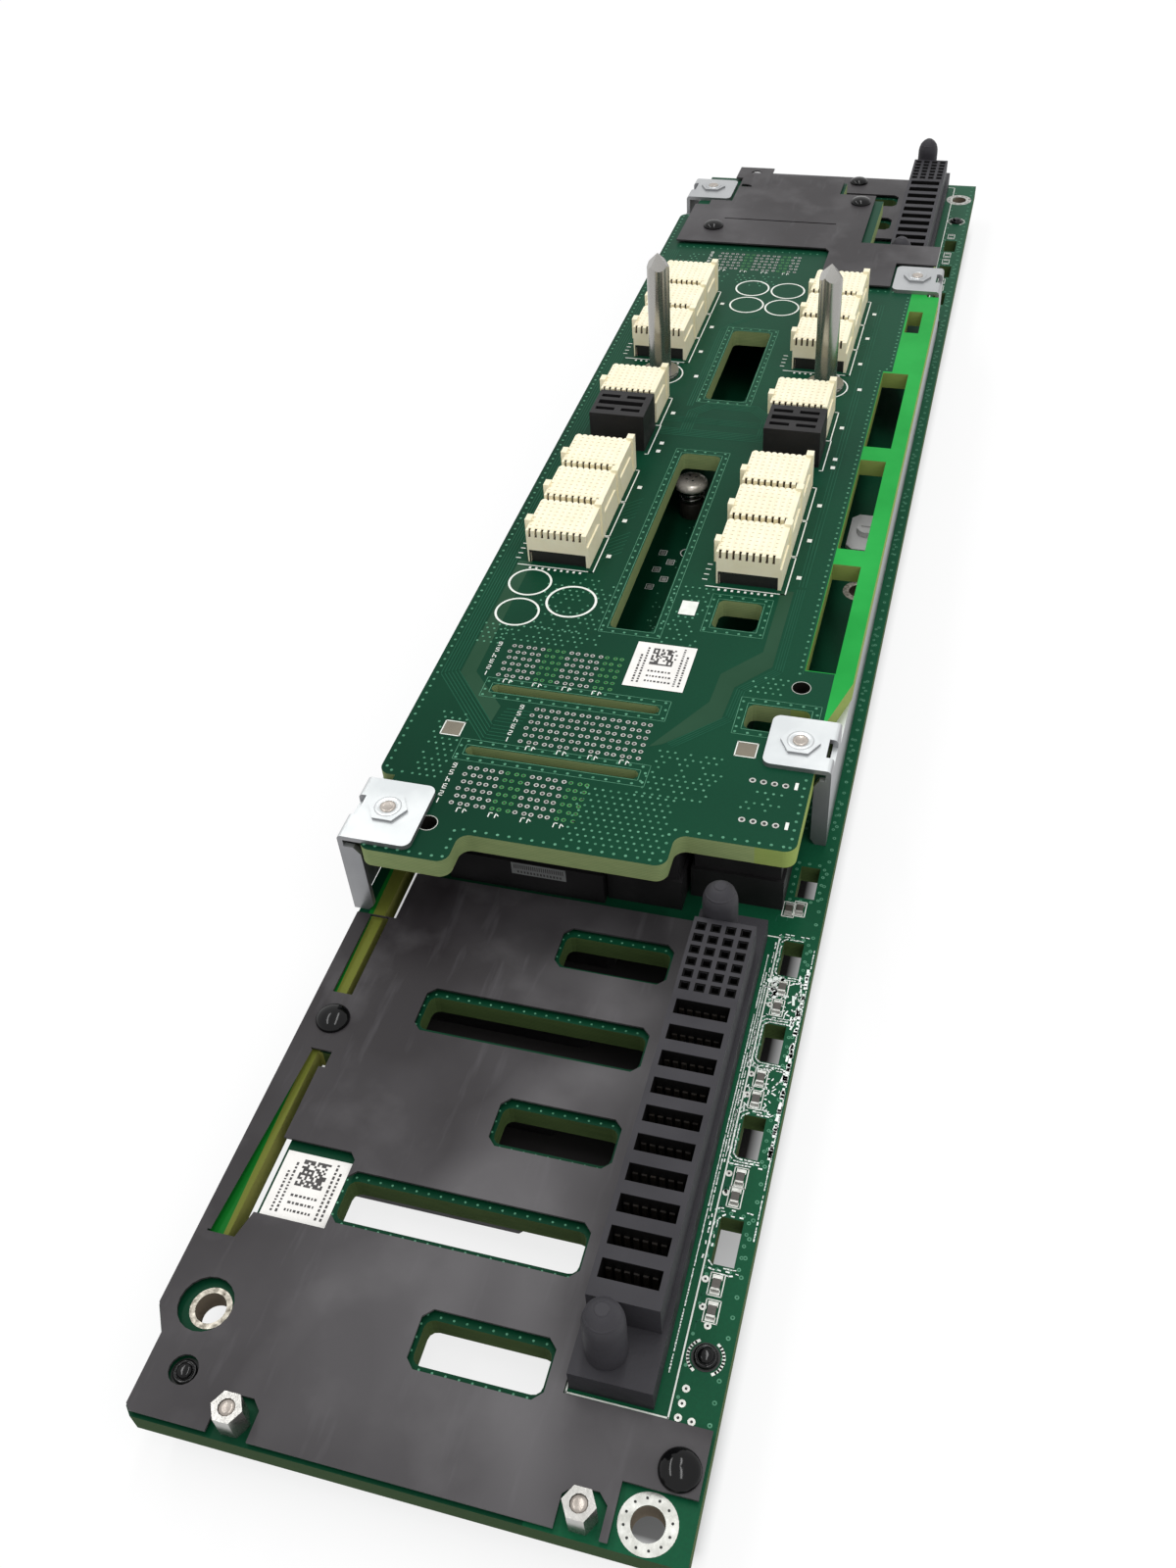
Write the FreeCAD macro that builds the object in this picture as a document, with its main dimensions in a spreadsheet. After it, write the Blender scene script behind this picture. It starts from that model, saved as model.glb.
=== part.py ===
import FreeCAD
import Part
import Sketcher
import math
import os

# Drive backplane with a raised connector board.
# Millimetres. X runs across the boards, Y along them from the near end, Z is up.
# The lowest faces, under the drive receptacles, lie on Z = 0.

doc = FreeCAD.newDocument("drive_backplane")
sheet = doc.addObject("Spreadsheet::Sheet", "Sizes")
V = FreeCAD.Vector
rows_used = [0]


class Size:
    # A length that carries both its number and the text of its formula.
    def __init__(self, value, text):
        self.value = value
        self.text = text

    def __add__(self, other):
        other = as_size(other)
        return Size(self.value + other.value, "(%s + %s)" % (self.text, other.text))

    def __radd__(self, other):
        return as_size(other) + self

    def __sub__(self, other):
        other = as_size(other)
        return Size(self.value - other.value, "(%s - %s)" % (self.text, other.text))

    def __rsub__(self, other):
        return as_size(other) - self

    def __mul__(self, other):
        other = as_size(other)
        return Size(self.value * other.value, "(%s * %s)" % (self.text, other.text))

    def __rmul__(self, other):
        return as_size(other) * self

    def __truediv__(self, other):
        other = as_size(other)
        return Size(self.value / other.value, "(%s / %s)" % (self.text, other.text))

    def __neg__(self):
        return Size(-self.value, "(0 - %s)" % self.text)


def as_size(number):
    if isinstance(number, Size):
        return number
    return Size(float(number), "(%s)" % repr(float(number)))


def size(alias, value):
    # One row of the sheet: a name, its value and its alias.
    rows_used[0] += 1
    row = rows_used[0]
    sheet.set("A%d" % row, alias.replace("_", " "))
    sheet.set("B%d" % row, str(value))
    sheet.setAlias("B%d" % row, alias)
    return Size(float(value), "Sizes.%s" % alias)


def derived(alias, amount):
    # A row that follows other rows by a formula.
    rows_used[0] += 1
    row = rows_used[0]
    sheet.set("A%d" % row, alias.replace("_", " "))
    sheet.set("B%d" % row, "=" + amount.text.replace("Sizes.", ""))
    sheet.setAlias("B%d" % row, alias)
    return Size(amount.value, "Sizes.%s" % alias)


# Lower board
board_width = size("board_width", 83.0)
board_length = size("board_length", 438.4)
board_thick = size("board_thick", 4.0)
drive_height = size("drive_height", 7.5)
left_step = size("left_step", 2.5)
left_step_near = size("left_step_near", 11.7)
left_step_far = size("left_step_far", 15.7)
corner_cut = size("corner_cut", 1.2)

# The drives fill the board's length, less a margin at either end
drive_count = 24
drive_first = size("drive_first", 10.7)
drive_last = size("drive_last", 9.1)
drive_pitch = derived("drive_pitch", (board_length - drive_first - drive_last) / (drive_count - 1))

# Air slots between the drives
slot_first = size("slot_first", 19.8)
slot_width = size("slot_width", 6.8)
slot_right = size("slot_right", 17.0)
short_slot_left = size("short_slot_left", -2.2)
long_slot_left = size("long_slot_left", -21.6)
slot_corner = size("slot_corner", 1.4)
strip_slot_first = size("strip_slot_first", 45.0)
strip_slot_width = size("strip_slot_width", 3.5)
strip_slot_length = size("strip_slot_length", 7.7)
strip_slot_inset = size("strip_slot_inset", 4.15)

# Long windows along the left side
rail_window_left = size("rail_window_left", -36.4)
rail_window_right = size("rail_window_right", -33.7)
rail_window_first = size("rail_window_first", 28.0)
rail_window_length = size("rail_window_length", 34.6)
rail_window_pitch = size("rail_window_pitch", 46.2)

# Mounting holes of the lower board
mount_hole_radius = size("mount_hole_radius", 2.3)
hole_near_right_x = size("hole_near_right_x", 35.3)
hole_near_right_y = size("hole_near_right_y", 4.2)
hole_near_left_x = size("hole_near_left_x", -33.7)
hole_near_left_y = size("hole_near_left_y", 17.0)
hole_mid_x = size("hole_mid_x", 34.35)
hole_mid_y = size("hole_mid_y", 207.4)
hole_far_x = size("hole_far_x", 36.9)
hole_far_gap = size("hole_far_gap", 12.0)

# Where the near power connector lies, and what keeps clear of it
power_base_near = size("power_base_near", 18.5)
power_base_length = size("power_base_length", 84.8)
power_far_end = power_base_near + power_base_length

# Upper board
board_gap = size("board_gap", 14.2)
upper_thick = size("upper_thick", 4.0)
upper_left = size("upper_left", -41.8)
upper_left_in = size("upper_left_in", -38.4)
upper_right = size("upper_right", 39.3)
upper_right_in = size("upper_right_in", 36.0)
upper_near_left = size("upper_near_left", 92.8)
upper_near_mid = size("upper_near_mid", 99.9)
upper_power_clearance = size("upper_power_clearance", 4.4)
upper_near_right = power_far_end + upper_power_clearance
upper_tab_right = size("upper_tab_right", -21.8)
upper_mid_right = size("upper_mid_right", 15.2)
upper_rail_near = size("upper_rail_near", 141.6)
upper_rail_full = size("upper_rail_full", 153.6)
upper_rail_far = size("upper_rail_far", 316.8)
upper_side_far = size("upper_side_far", 345.0)
upper_inner_right = size("upper_inner_right", 16.8)
upper_inner_far = size("upper_inner_far", 377.6)
upper_step_x = size("upper_step_x", 4.2)
upper_far = size("upper_far", 389.5)
upper_left_start = size("upper_left_start", 111.5)
upper_left_end = size("upper_left_end", 361.0)
upper_corner = size("upper_corner", 2.2)

# Insulating sheets
sheet_gap = size("sheet_gap", 0.8)
sheet_thick = size("sheet_thick", 0.4)
sheet_margin = size("sheet_margin", 0.4)
sheet_slot_extra = size("sheet_slot_extra", 1.1)
far_sheet_length = size("far_sheet_length", 47.0)

# Power connectors
power_left = size("power_left", 21.2)
power_width = size("power_width", 10.6)
power_base_left = size("power_base_left", 20.5)
power_base_width = size("power_base_width", 12.1)
power_base_height = size("power_base_height", 5.0)
power_body_near = size("power_body_near", 8.4)
power_body_length = size("power_body_length", 68.9)
power_body_height = size("power_body_height", 11.8)
power_far_clearance = size("power_far_clearance", 6.0)
power_far_shift = upper_side_far + power_far_clearance - power_base_near
contact_pitch = size("contact_pitch", 2.54)
window_length = size("window_length", 8.8)
window_width = size("window_width", 2.95)
window_depth = size("window_depth", 8.5)
window_first = size("window_first", 11.2)
signal_hole = size("signal_hole", 1.2)
signal_first_row = size("signal_first_row", 62.7)
signal_depth = size("signal_depth", 6.0)
post_offset = size("post_offset", 4.5)
post_radius = size("post_radius", 3.05)
post_height = size("post_height", 17.2)
post_shoulder = size("post_shoulder", 13.3)
post_tip_radius = size("post_tip_radius", 0.95)

# Ribbed receptacles on the upper board
column_left_x = size("column_left_x", -27.4)
column_right_x = size("column_right_x", 13.7)
receptacle_pitch = size("receptacle_pitch", 13.65)
near_group_y = size("near_group_y", 180.0)
single_y = size("single_y", 240.8)
far_group_y = size("far_group_y", 272.2)
receptacle_width = size("receptacle_width", 13.3)
receptacle_length = size("receptacle_length", 11.6)
receptacle_height = size("receptacle_height", 8.0)
receptacle_shelf = size("receptacle_shelf", 1.6)
shelf_height = size("shelf_height", 5.4)
tail_height = size("tail_height", 2.5)
tail_recess = size("tail_recess", 0.4)
side_leg = size("side_leg", 0.7)
slit_pitch = size("slit_pitch", 1.39)
slit_width = size("slit_width", 0.55)
slit_reach = size("slit_reach", 0.9)
slit_depth = size("slit_depth", 1.6)
ear_height = size("ear_height", 8.7)
ear_thick = size("ear_thick", 1.0)
ear_length = size("ear_length", 2.3)
left_ear_y = size("left_ear_y", 2.8)
ear_foot = size("ear_foot", 3.4)
slit_shift = size("slit_shift", -0.3)
gusset_height = size("gusset_height", 5.2)
gusset_thick = size("gusset_thick", 0.35)

# Black power blocks in the two columns
block_y = size("block_y", 227.6)
block_width = size("block_width", 13.0)
block_length = size("block_length", 10.8)
block_height = size("block_height", 9.0)
block_left_x = size("block_left_x", -26.7)
block_right_x = size("block_right_x", 14.4)
block_wall_right = size("block_wall_right", 1.5)
block_wall = size("block_wall", 0.9)
block_slot = size("block_slot", 1.5)
block_slot_pitch = size("block_slot_pitch", 2.9)
block_slot_depth = size("block_slot_depth", 5.5)

# Guide pins
pin_left_x = size("pin_left_x", -25.1)
pin_right_x = size("pin_right_x", 16.6)
pin_y = size("pin_y", 264.4)
pin_radius = size("pin_radius", 2.72)
pin_flange_radius = size("pin_flange_radius", 4.6)
pin_flange_thick = size("pin_flange_thick", 1.2)
pin_height = size("pin_height", 31.3)
pin_point = size("pin_point", 3.7)
shank_clearance = size("shank_clearance", 0.3)

# Sheet metal side rails that carry the upper board
metal_thick = size("metal_thick", 1.0)
rail_left_x = size("rail_left_x", -42.6)
rail_left_near = size("rail_left_near", 94.0)
rail_left_far = size("rail_left_far", 385.4)
rail_right_x = size("rail_right_x", 39.1)
rail_right_near = size("rail_right_near", 127.6)
rail_right_far = size("rail_right_far", 332.4)
rail_shelf = size("rail_shelf", 3.2)
shelf_start = size("shelf_start", 18.0)
shelf_end = size("shelf_end", 24.6)
flange_left = size("flange_left", 4.0)
flange_right = size("flange_right", 3.0)
flange_height = size("flange_height", 16.6)
tab_width_left = size("tab_width_left", 13.5)
tab_width_right = size("tab_width_right", 12.7)
tab_left_near = size("tab_left_near", 15.2)
tab_left_far = size("tab_left_far", 13.9)
tab_right_near = size("tab_right_near", 13.3)
tab_right_far = size("tab_right_far", 14.5)
tab_corner = size("tab_corner", 1.6)
rail_bend = size("rail_bend", 0.9)
notch_depth = size("notch_depth", 1.6)
notch_drop = size("notch_drop", 1.8)
notch_length = size("notch_length", 4.9)
notch_left_near = size("notch_left_near", 5.6)
notch_left_far = size("notch_left_far", 5.4)
notch_right_near = size("notch_right_near", 3.6)
notch_right_far = size("notch_right_far", 5.7)
nut_inset_x = size("nut_inset_x", 6.7)
nut_inset_y = size("nut_inset_y", 8.2)
nut_inset_near = size("nut_inset_near", 6.6)
nut_radius = size("nut_radius", 3.7)
nut_thick = size("nut_thick", 0.5)

# Small fasteners
standoff_height = size("standoff_height", 5.0)
standoff_radius = size("standoff_radius", 2.35)
standoff_bore = size("standoff_bore", 1.25)
standoff_bore_depth = size("standoff_bore_depth", 4.0)
standoff_left_x = size("standoff_left_x", -23.0)
standoff_right_x = size("standoff_right_x", 26.7)
standoff_y = size("standoff_y", 2.9)
rivet_radius = size("rivet_radius", 2.95)
rivet_height = size("rivet_height", 1.55)
rivet_shank = size("rivet_shank", 1.4)
snap_radius = size("snap_radius", 1.75)
snap_height = size("snap_height", 1.1)
screw_x = size("screw_x", -9.7)
screw_y = size("screw_y", 231.0)
screw_head_radius = size("screw_head_radius", 4.0)
screw_head_height = size("screw_head_height", 2.2)
screw_collar_radius = size("screw_collar_radius", 2.9)
screw_collar_height = size("screw_collar_height", 4.0)
screw_neck_radius = size("screw_neck_radius", 1.9)
screw_total = size("screw_total", 10.0)
clip_left = size("clip_left", 28.9)
clip_width = size("clip_width", 8.2)
clip_near = size("clip_near", 222.0)
clip_length = size("clip_length", 14.4)
clip_screw_x = size("clip_screw_x", 33.2)
clip_screw_y = size("clip_screw_y", 229.4)
clip_head_radius = size("clip_head_radius", 2.6)

chip_length = size("chip_length", 2.0)
chip_width = size("chip_width", 1.25)
chip_height = size("chip_height", 0.5)

# Board to board connectors, half of each on either board
mezz_step = size("mezz_step", 0.6)
mezz_split = size("mezz_split", 7.4)

# Drive receptacles under the lower board
drive_x = size("drive_x", -13.0)
drive_length = size("drive_length", 36.0)
drive_body = size("drive_body", 5.2)
drive_mouth_length = size("drive_mouth_length", 33.4)
drive_mouth_width = size("drive_mouth_width", 2.9)
drive_mouth_depth = size("drive_mouth_depth", 5.2)
drive_tongue = size("drive_tongue", 1.2)

near_end = -board_length / 2
lower_top = drive_height + board_thick
upper_bottom = lower_top + board_gap
upper_top = upper_bottom + upper_thick
half_width = board_width / 2
near_section_left = -half_width + left_step
rivet_spots_lower = ((37.9, 11.3), (-36.0, 68.7), (2.9, board_length - 4.4))
rivet_spots_upper = ((-29.8, upper_side_far + 5.9), (10.5, upper_inner_far - 4.4))
snap_spots = ((-32.9, 7.4), (37.9, 27.3), (37.6, board_length - 29.1))
# Centre X, centre Y, length across, length along
mezz_spots = (
    (-16.8, 147.2, 25.0, 12.6),
    (-6.7, 129.6, 25.0, 12.6),
    (-12.6, 111.4, 29.8, 13.0),
    (-14.6, 330.0, 25.0, 12.6),
    (9.5, 113.0, 13.8, 13.2),
    (25.6, power_far_end + 15.6, 16.8, 17.2),
)
chip_spots = (
    (37.1, 38.1), (37.3, 34.0), (37.1, 55.8), (37.0, 52.4), (36.8, 74.3),
    (36.8, 70.1), (37.0, 93.1), (36.9, 88.8), (35.1, 110.7), (37.0, 111.2),
)


def along(value):
    # Distance from the near end of the lower board, as a Y coordinate.
    return near_end + value


def body_named(name):
    body = doc.addObject("PartDesign::Body", name)
    body.Label = name
    return body


def plane_of(body, role):
    for feature in body.Origin.OriginFeatures:
        if feature.Role == role:
            return feature
    return None


def sketch_in(body, name, role="XY_Plane", offset=None):
    sketch = body.newObject("Sketcher::SketchObject", name)
    sketch.AttachmentSupport = [(plane_of(body, role), "")]
    sketch.MapMode = "FlatFace"
    if offset is not None:
        sketch.AttachmentOffset = FreeCAD.Placement(V(0, 0, offset.value), FreeCAD.Rotation())
        sketch.setExpression("AttachmentOffset.Base.z", offset.text)
    return sketch


def fix(sketch, kind, geometry, point, length):
    index = sketch.addConstraint(Sketcher.Constraint(kind, -1, 1, geometry, point, length.value))
    sketch.setExpression("Constraints[%d]" % index, length.text)


def outline(sketch, points):
    # Closed polygon whose corners are held at sheet values.
    points = [(as_size(px), as_size(py)) for px, py in points]
    first = sketch.GeometryCount
    count = len(points)
    for k in range(count):
        px, py = points[k]
        qx, qy = points[(k + 1) % count]
        line = Part.LineSegment(V(px.value, py.value, 0), V(qx.value, qy.value, 0))
        sketch.addGeometry(line, False)
    for k in range(count):
        after = first + (k + 1) % count
        sketch.addConstraint(Sketcher.Constraint("Coincident", first + k, 2, after, 1))
    for k in range(count):
        fix(sketch, "DistanceX", first + k, 1, points[k][0])
        fix(sketch, "DistanceY", first + k, 1, points[k][1])


def rectangle(sketch, left, near, right, far):
    outline(sketch, [(left, near), (right, near), (right, far), (left, far)])


def rounded(sketch, left, near, right, far, radius):
    # A rectangle whose corners follow quarter circles in three chords each.
    left, near, right, far = [as_size(item) for item in (left, near, right, far)]
    points = []
    for centre_x, centre_y, start in (
        (right - radius, far - radius, 0),
        (left + radius, far - radius, 90),
        (left + radius, near + radius, 180),
        (right - radius, near + radius, 270),
    ):
        for k in range(4):
            across, up = heading(start + 30 * k)
            points.append((centre_x + radius * across, centre_y + radius * up))
    outline(sketch, points)


def heading(degrees):
    # Across and up parts of a direction, as plain numbers.
    angle = math.radians(degrees)
    return round(math.cos(angle), 6), round(math.sin(angle), 6)


def round_hole(sketch, centre_x, centre_y, radius, sides=12):
    # A small round opening in a few chords.
    centre_x, centre_y, radius = as_size(centre_x), as_size(centre_y), as_size(radius)
    points = []
    for k in range(sides):
        across, up = heading(360.0 * k / sides)
        points.append((centre_x + radius * across, centre_y + radius * up))
    outline(sketch, points)


def chamfered(sketch, left, near, right, far, cut):
    # A rectangle whose four corners are cut at 45 degrees.
    left, near, right, far, cut = [as_size(v) for v in (left, near, right, far, cut)]
    outline(sketch, [
        (left + cut, near), (right - cut, near), (right, near + cut), (right, far - cut),
        (right - cut, far), (left + cut, far), (left, far - cut), (left, near + cut),
    ])


def stem_hole(sketch, px, py):
    # The opening of an insulating sheet around a rivet stem.
    half = rivet_shank + shank_clearance
    chamfered(sketch, px - half, py - half, px + half, py + half, half * 0.55)


def ring(sketch, centre_x, centre_y, radius):
    centre_x, centre_y, radius = as_size(centre_x), as_size(centre_y), as_size(radius)
    circle = Part.Circle(V(centre_x.value, centre_y.value, 0), V(0, 0, 1), radius.value)
    index = sketch.addGeometry(circle, False)
    number = sketch.addConstraint(Sketcher.Constraint("Radius", index, radius.value))
    sketch.setExpression("Constraints[%d]" % number, radius.text)
    fix(sketch, "DistanceX", index, 3, centre_x)
    fix(sketch, "DistanceY", index, 3, centre_y)


def pad(body, sketch, length, name, down=False):
    feature = body.newObject("PartDesign::Pad", name)
    feature.Profile = sketch
    feature.Length = length.value
    feature.setExpression("Length", length.text)
    feature.Reversed = down
    sketch.Visibility = False
    return feature


def pocket(body, sketch, length, name, other_way=False):
    feature = body.newObject("PartDesign::Pocket", name)
    feature.Profile = sketch
    feature.Length = length.value
    feature.setExpression("Length", length.text)
    feature.Reversed = other_way
    sketch.Visibility = False
    return feature


def repeat(body, original, sketch, axis, spacing, count, name):
    feature = body.newObject("PartDesign::LinearPattern", name)
    feature.Originals = [original]
    feature.Direction = (sketch, [axis])
    feature.Occurrences = count
    feature.Length = spacing.value * (count - 1)
    feature.setExpression("Length", (spacing * (count - 1)).text)
    body.Tip = feature
    return feature


def place(thing, centre_x, centre_y, centre_z):
    spots = [as_size(item) for item in (centre_x, centre_y, centre_z)]
    thing.Placement.Base = V(spots[0].value, spots[1].value, spots[2].value)
    for letter, spot in zip("xyz", spots):
        thing.setExpression("Placement.Base.%s" % letter, spot.text)


def upright_edges(feature, spots):
    # Names of the vertical edges of a feature that stand on the given XY spots.
    names = []
    for number, edge in enumerate(feature.Shape.Edges):
        start = edge.Vertexes[0].Point
        finish = edge.Vertexes[-1].Point
        if abs(start.z - finish.z) < 0.1 or abs(start.x - finish.x) > 0.01:
            continue
        if abs(start.y - finish.y) > 0.01:
            continue
        for px, py in spots:
            if abs(start.x - px) < 0.02 and abs(start.y - py) < 0.02:
                names.append("Edge%d" % (number + 1))
    return names


def round_edges(body, feature, names, radius, label):
    fillet = body.newObject("PartDesign::Fillet", label)
    fillet.Base = (feature, names)
    fillet.Radius = radius.value
    fillet.setExpression("Radius", radius.text)
    body.Tip = fillet
    return fillet


def numbers(points):
    return [(as_size(px).value, as_size(py).value) for px, py in points]


def cylinder(name, radius, height, centre_x, centre_y, base_z):
    thing = doc.addObject("Part::Cylinder", name)
    radius, height = as_size(radius), as_size(height)
    thing.Radius = radius.value
    thing.Height = height.value
    thing.setExpression("Radius", radius.text)
    thing.setExpression("Height", height.text)
    place(thing, centre_x, centre_y, base_z)
    return thing


def prism(name, radius, height, centre_x, centre_y, base_z, sides=12):
    # A small round form in a few flats.
    thing = doc.addObject("Part::Prism", name)
    thing.Polygon = sides
    thing.setExpression("Circumradius", as_size(radius).text)
    thing.setExpression("Height", as_size(height).text)
    place(thing, centre_x, centre_y, base_z)
    return thing


def square_taper(name, foot_half, top_half, height, turn, centre_x, centre_y, base_z):
    # A square block that narrows upwards. It tapers along its own Y, so it is turned to stand on Z.
    taper = doc.addObject("Part::Wedge", name)
    for prop, amount in (("Xmin", -foot_half), ("Xmax", foot_half), ("Zmin", -foot_half), ("Zmax", foot_half),
                         ("X2min", -top_half), ("X2max", top_half), ("Z2min", -top_half), ("Z2max", top_half),
                         ("Ymin", as_size(0)), ("Ymax", height)):
        taper.setExpression(prop, amount.text)
    stand = FreeCAD.Rotation(V(1, 0, 0), 90)
    taper.Placement = FreeCAD.Placement(V(0, 0, 0), FreeCAD.Rotation(V(0, 0, 1), turn) * stand)
    place(taper, centre_x, centre_y, base_z)
    return taper


def fused(name, shapes):
    thing = doc.addObject("Part::MultiFuse", name)
    thing.Shapes = shapes
    return thing


def grouped(name, shapes):
    thing = doc.addObject("Part::Compound", name)
    thing.Label = name
    thing.Links = shapes
    return thing


made = []


# Lower board with its slots, windows and mounting holes
def build_lower_board():
    body = body_named("lower_board")
    plan = sketch_in(body, "lower_plan", "XY_Plane", drive_height)
    outline(plan, [
        (near_section_left + corner_cut, near_end),
        (half_width, near_end),
        (half_width, -near_end),
        (near_section_left, -near_end),
        (near_section_left, -near_end - left_step_near),
        (-half_width, -near_end - left_step_far),
        (-half_width, along(left_step_far)),
        (near_section_left, along(left_step_near)),
        (near_section_left, near_end + corner_cut),
    ])
    pad(body, plan, board_thick, "lower_sheet")

    def slot_run(label, left, first_index, count, form):
        sketch = sketch_in(body, label + "_plan", "XY_Plane", lower_top)
        middle = along(slot_first + drive_pitch * first_index)
        form(sketch, left, middle - slot_width / 2, slot_right, middle + slot_width / 2, slot_corner)
        cut = pocket(body, sketch, board_thick, label + "_cut")
        if count > 1:
            repeat(body, cut, sketch, "V_Axis", drive_pitch * 2, count, label + "_run")

    slot_run("near_short", short_slot_left, 0, 3, rounded)
    slot_run("near_long", long_slot_left, 1, 2, rounded)
    slot_run("far_short", short_slot_left, 18, 3, chamfered)
    slot_run("far_long", long_slot_left, 19, 2, chamfered)

    strip_x = half_width - strip_slot_inset
    for label, first, count in (("strip_near", 0, 9), ("strip_far", 10, 10)):
        strip = sketch_in(body, label + "_plan", "XY_Plane", lower_top)
        strip_y = along(strip_slot_first + drive_pitch * first)
        rectangle(strip, strip_x - strip_slot_width / 2, strip_y - strip_slot_length / 2,
                  strip_x + strip_slot_width / 2, strip_y + strip_slot_length / 2)
        strip_cut = pocket(body, strip, board_thick, label + "_cut")
        repeat(body, strip_cut, strip, "V_Axis", drive_pitch, count, label + "_run")

    rail = sketch_in(body, "rail_plan", "XY_Plane", lower_top)
    rail_y = along(rail_window_first)
    rectangle(rail, rail_window_left, rail_y, rail_window_right, rail_y + rail_window_length)
    rail_cut = pocket(body, rail, board_thick, "rail_cut")
    repeat(body, rail_cut, rail, "V_Axis", rail_window_pitch, 2, "rail_run")

    holes = sketch_in(body, "hole_plan", "XY_Plane", lower_top)
    ring(holes, hole_near_right_x, along(hole_near_right_y), mount_hole_radius)
    ring(holes, hole_near_left_x, along(hole_near_left_y), mount_hole_radius)
    ring(holes, hole_mid_x, along(hole_mid_y), mount_hole_radius)
    ring(holes, hole_far_x, along(board_length - hole_far_gap), mount_hole_radius)
    pocket(body, holes, board_thick, "hole_cut")
    made.append(body)


# Upper board with its windows, slits and holes
def build_upper_board():
    body = body_named("upper_board")
    plan = sketch_in(body, "upper_plan", "XY_Plane", upper_bottom)
    corners = [
        (upper_left_in, along(upper_near_left)),
        (upper_tab_right, along(upper_near_left)),
        (upper_tab_right, along(upper_near_mid)),
        (upper_mid_right, along(upper_near_mid)),
        (upper_mid_right, along(upper_near_right)),
        (upper_right_in, along(upper_near_right)),
        (upper_right_in, along(upper_rail_near)),
        (upper_right, along(upper_rail_full)),
        (upper_right, along(upper_rail_far)),
        (upper_right_in, along(upper_rail_far)),
        (upper_right_in, along(upper_side_far)),
        (upper_inner_right, along(upper_side_far)),
        (upper_inner_right, along(upper_inner_far)),
        (upper_step_x, along(upper_inner_far)),
        (upper_step_x, along(upper_far)),
        (upper_left_in, along(upper_far)),
        (upper_left_in, along(upper_left_end)),
        (upper_left, along(upper_left_end)),
        (upper_left, along(upper_left_start)),
        (upper_left_in, along(upper_left_start)),
    ]
    outline(plan, corners)
    sheet_pad = pad(body, plan, upper_thick, "upper_sheet")
    doc.recompute()
    picked = [corners[k] for k in (0, 1, 2, 3, 4, 5, 17, 18)]
    names = upright_edges(sheet_pad, numbers(picked))
    round_edges(body, sheet_pad, names, upper_corner, "upper_corners")

    windows = sketch_in(body, "rail_windows_plan", "XY_Plane", upper_top)
    rectangle(windows, 29.8, along(155.8), 35.6, along(191.3))
    rectangle(windows, 29.8, along(197.1), 35.6, along(232.8))
    rectangle(windows, 29.8, along(238.7), 36.0, along(273.9))
    rectangle(windows, 32.4, along(295.8), 36.0, along(307.7))
    pocket(body, windows, upper_thick, "rail_windows")

    centre = sketch_in(body, "centre_windows_plan", "XY_Plane", upper_top)
    rounded(centre, -11.2, along(161.4), -1.9, along(228.4), slot_corner)
    rounded(centre, -11.4, along(253.9), -1.4, along(289.9), slot_corner)
    rounded(centre, 9.0, along(165.4), 18.1, along(174.6), slot_corner)
    rounded(centre, 21.1, along(137.0), 32.9, along(143.9), slot_corner)
    chamfered(centre, -28.6, along(137.5), 4.8, along(139.7), slot_corner / 2)
    chamfered(centre, -27.8, along(119.6), 5.2, along(121.8), slot_corner / 2)
    pocket(body, centre, upper_thick, "centre_windows")

    holes = sketch_in(body, "upper_hole_plan", "XY_Plane", upper_top)
    round_hole(holes, -28.2, along(101.2), 1.7)
    round_hole(holes, 29.9, along(150.4), 1.7)
    pocket(body, holes, upper_thick, "upper_holes")
    made.append(body)


# Board to board connectors: a wide lower half and a narrower upper half, mated
def build_board_connectors():
    stacks = []
    for number, (px, py, wide, deep) in enumerate(mezz_spots):
        label = "board_connector_%d" % (number + 1)
        lower = doc.addObject("Part::Box", label + "_lower")
        lower.setExpression("Length", as_size(wide).text)
        lower.setExpression("Width", as_size(deep).text)
        lower.setExpression("Height", mezz_split.text)
        place(lower, px - wide / 2, along(py - deep / 2), lower_top)
        upper = doc.addObject("Part::Box", label + "_upper")
        upper.setExpression("Length", (as_size(wide) - mezz_step * 2).text)
        upper.setExpression("Width", (as_size(deep) - mezz_step * 2).text)
        upper.setExpression("Height", (board_gap - mezz_split).text)
        place(upper, px - wide / 2 + mezz_step, along(py - deep / 2) + mezz_step, lower_top + mezz_split)
        stacks.append(fused(label, [lower, upper]))
    made.append(grouped("board_connectors", stacks))


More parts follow.
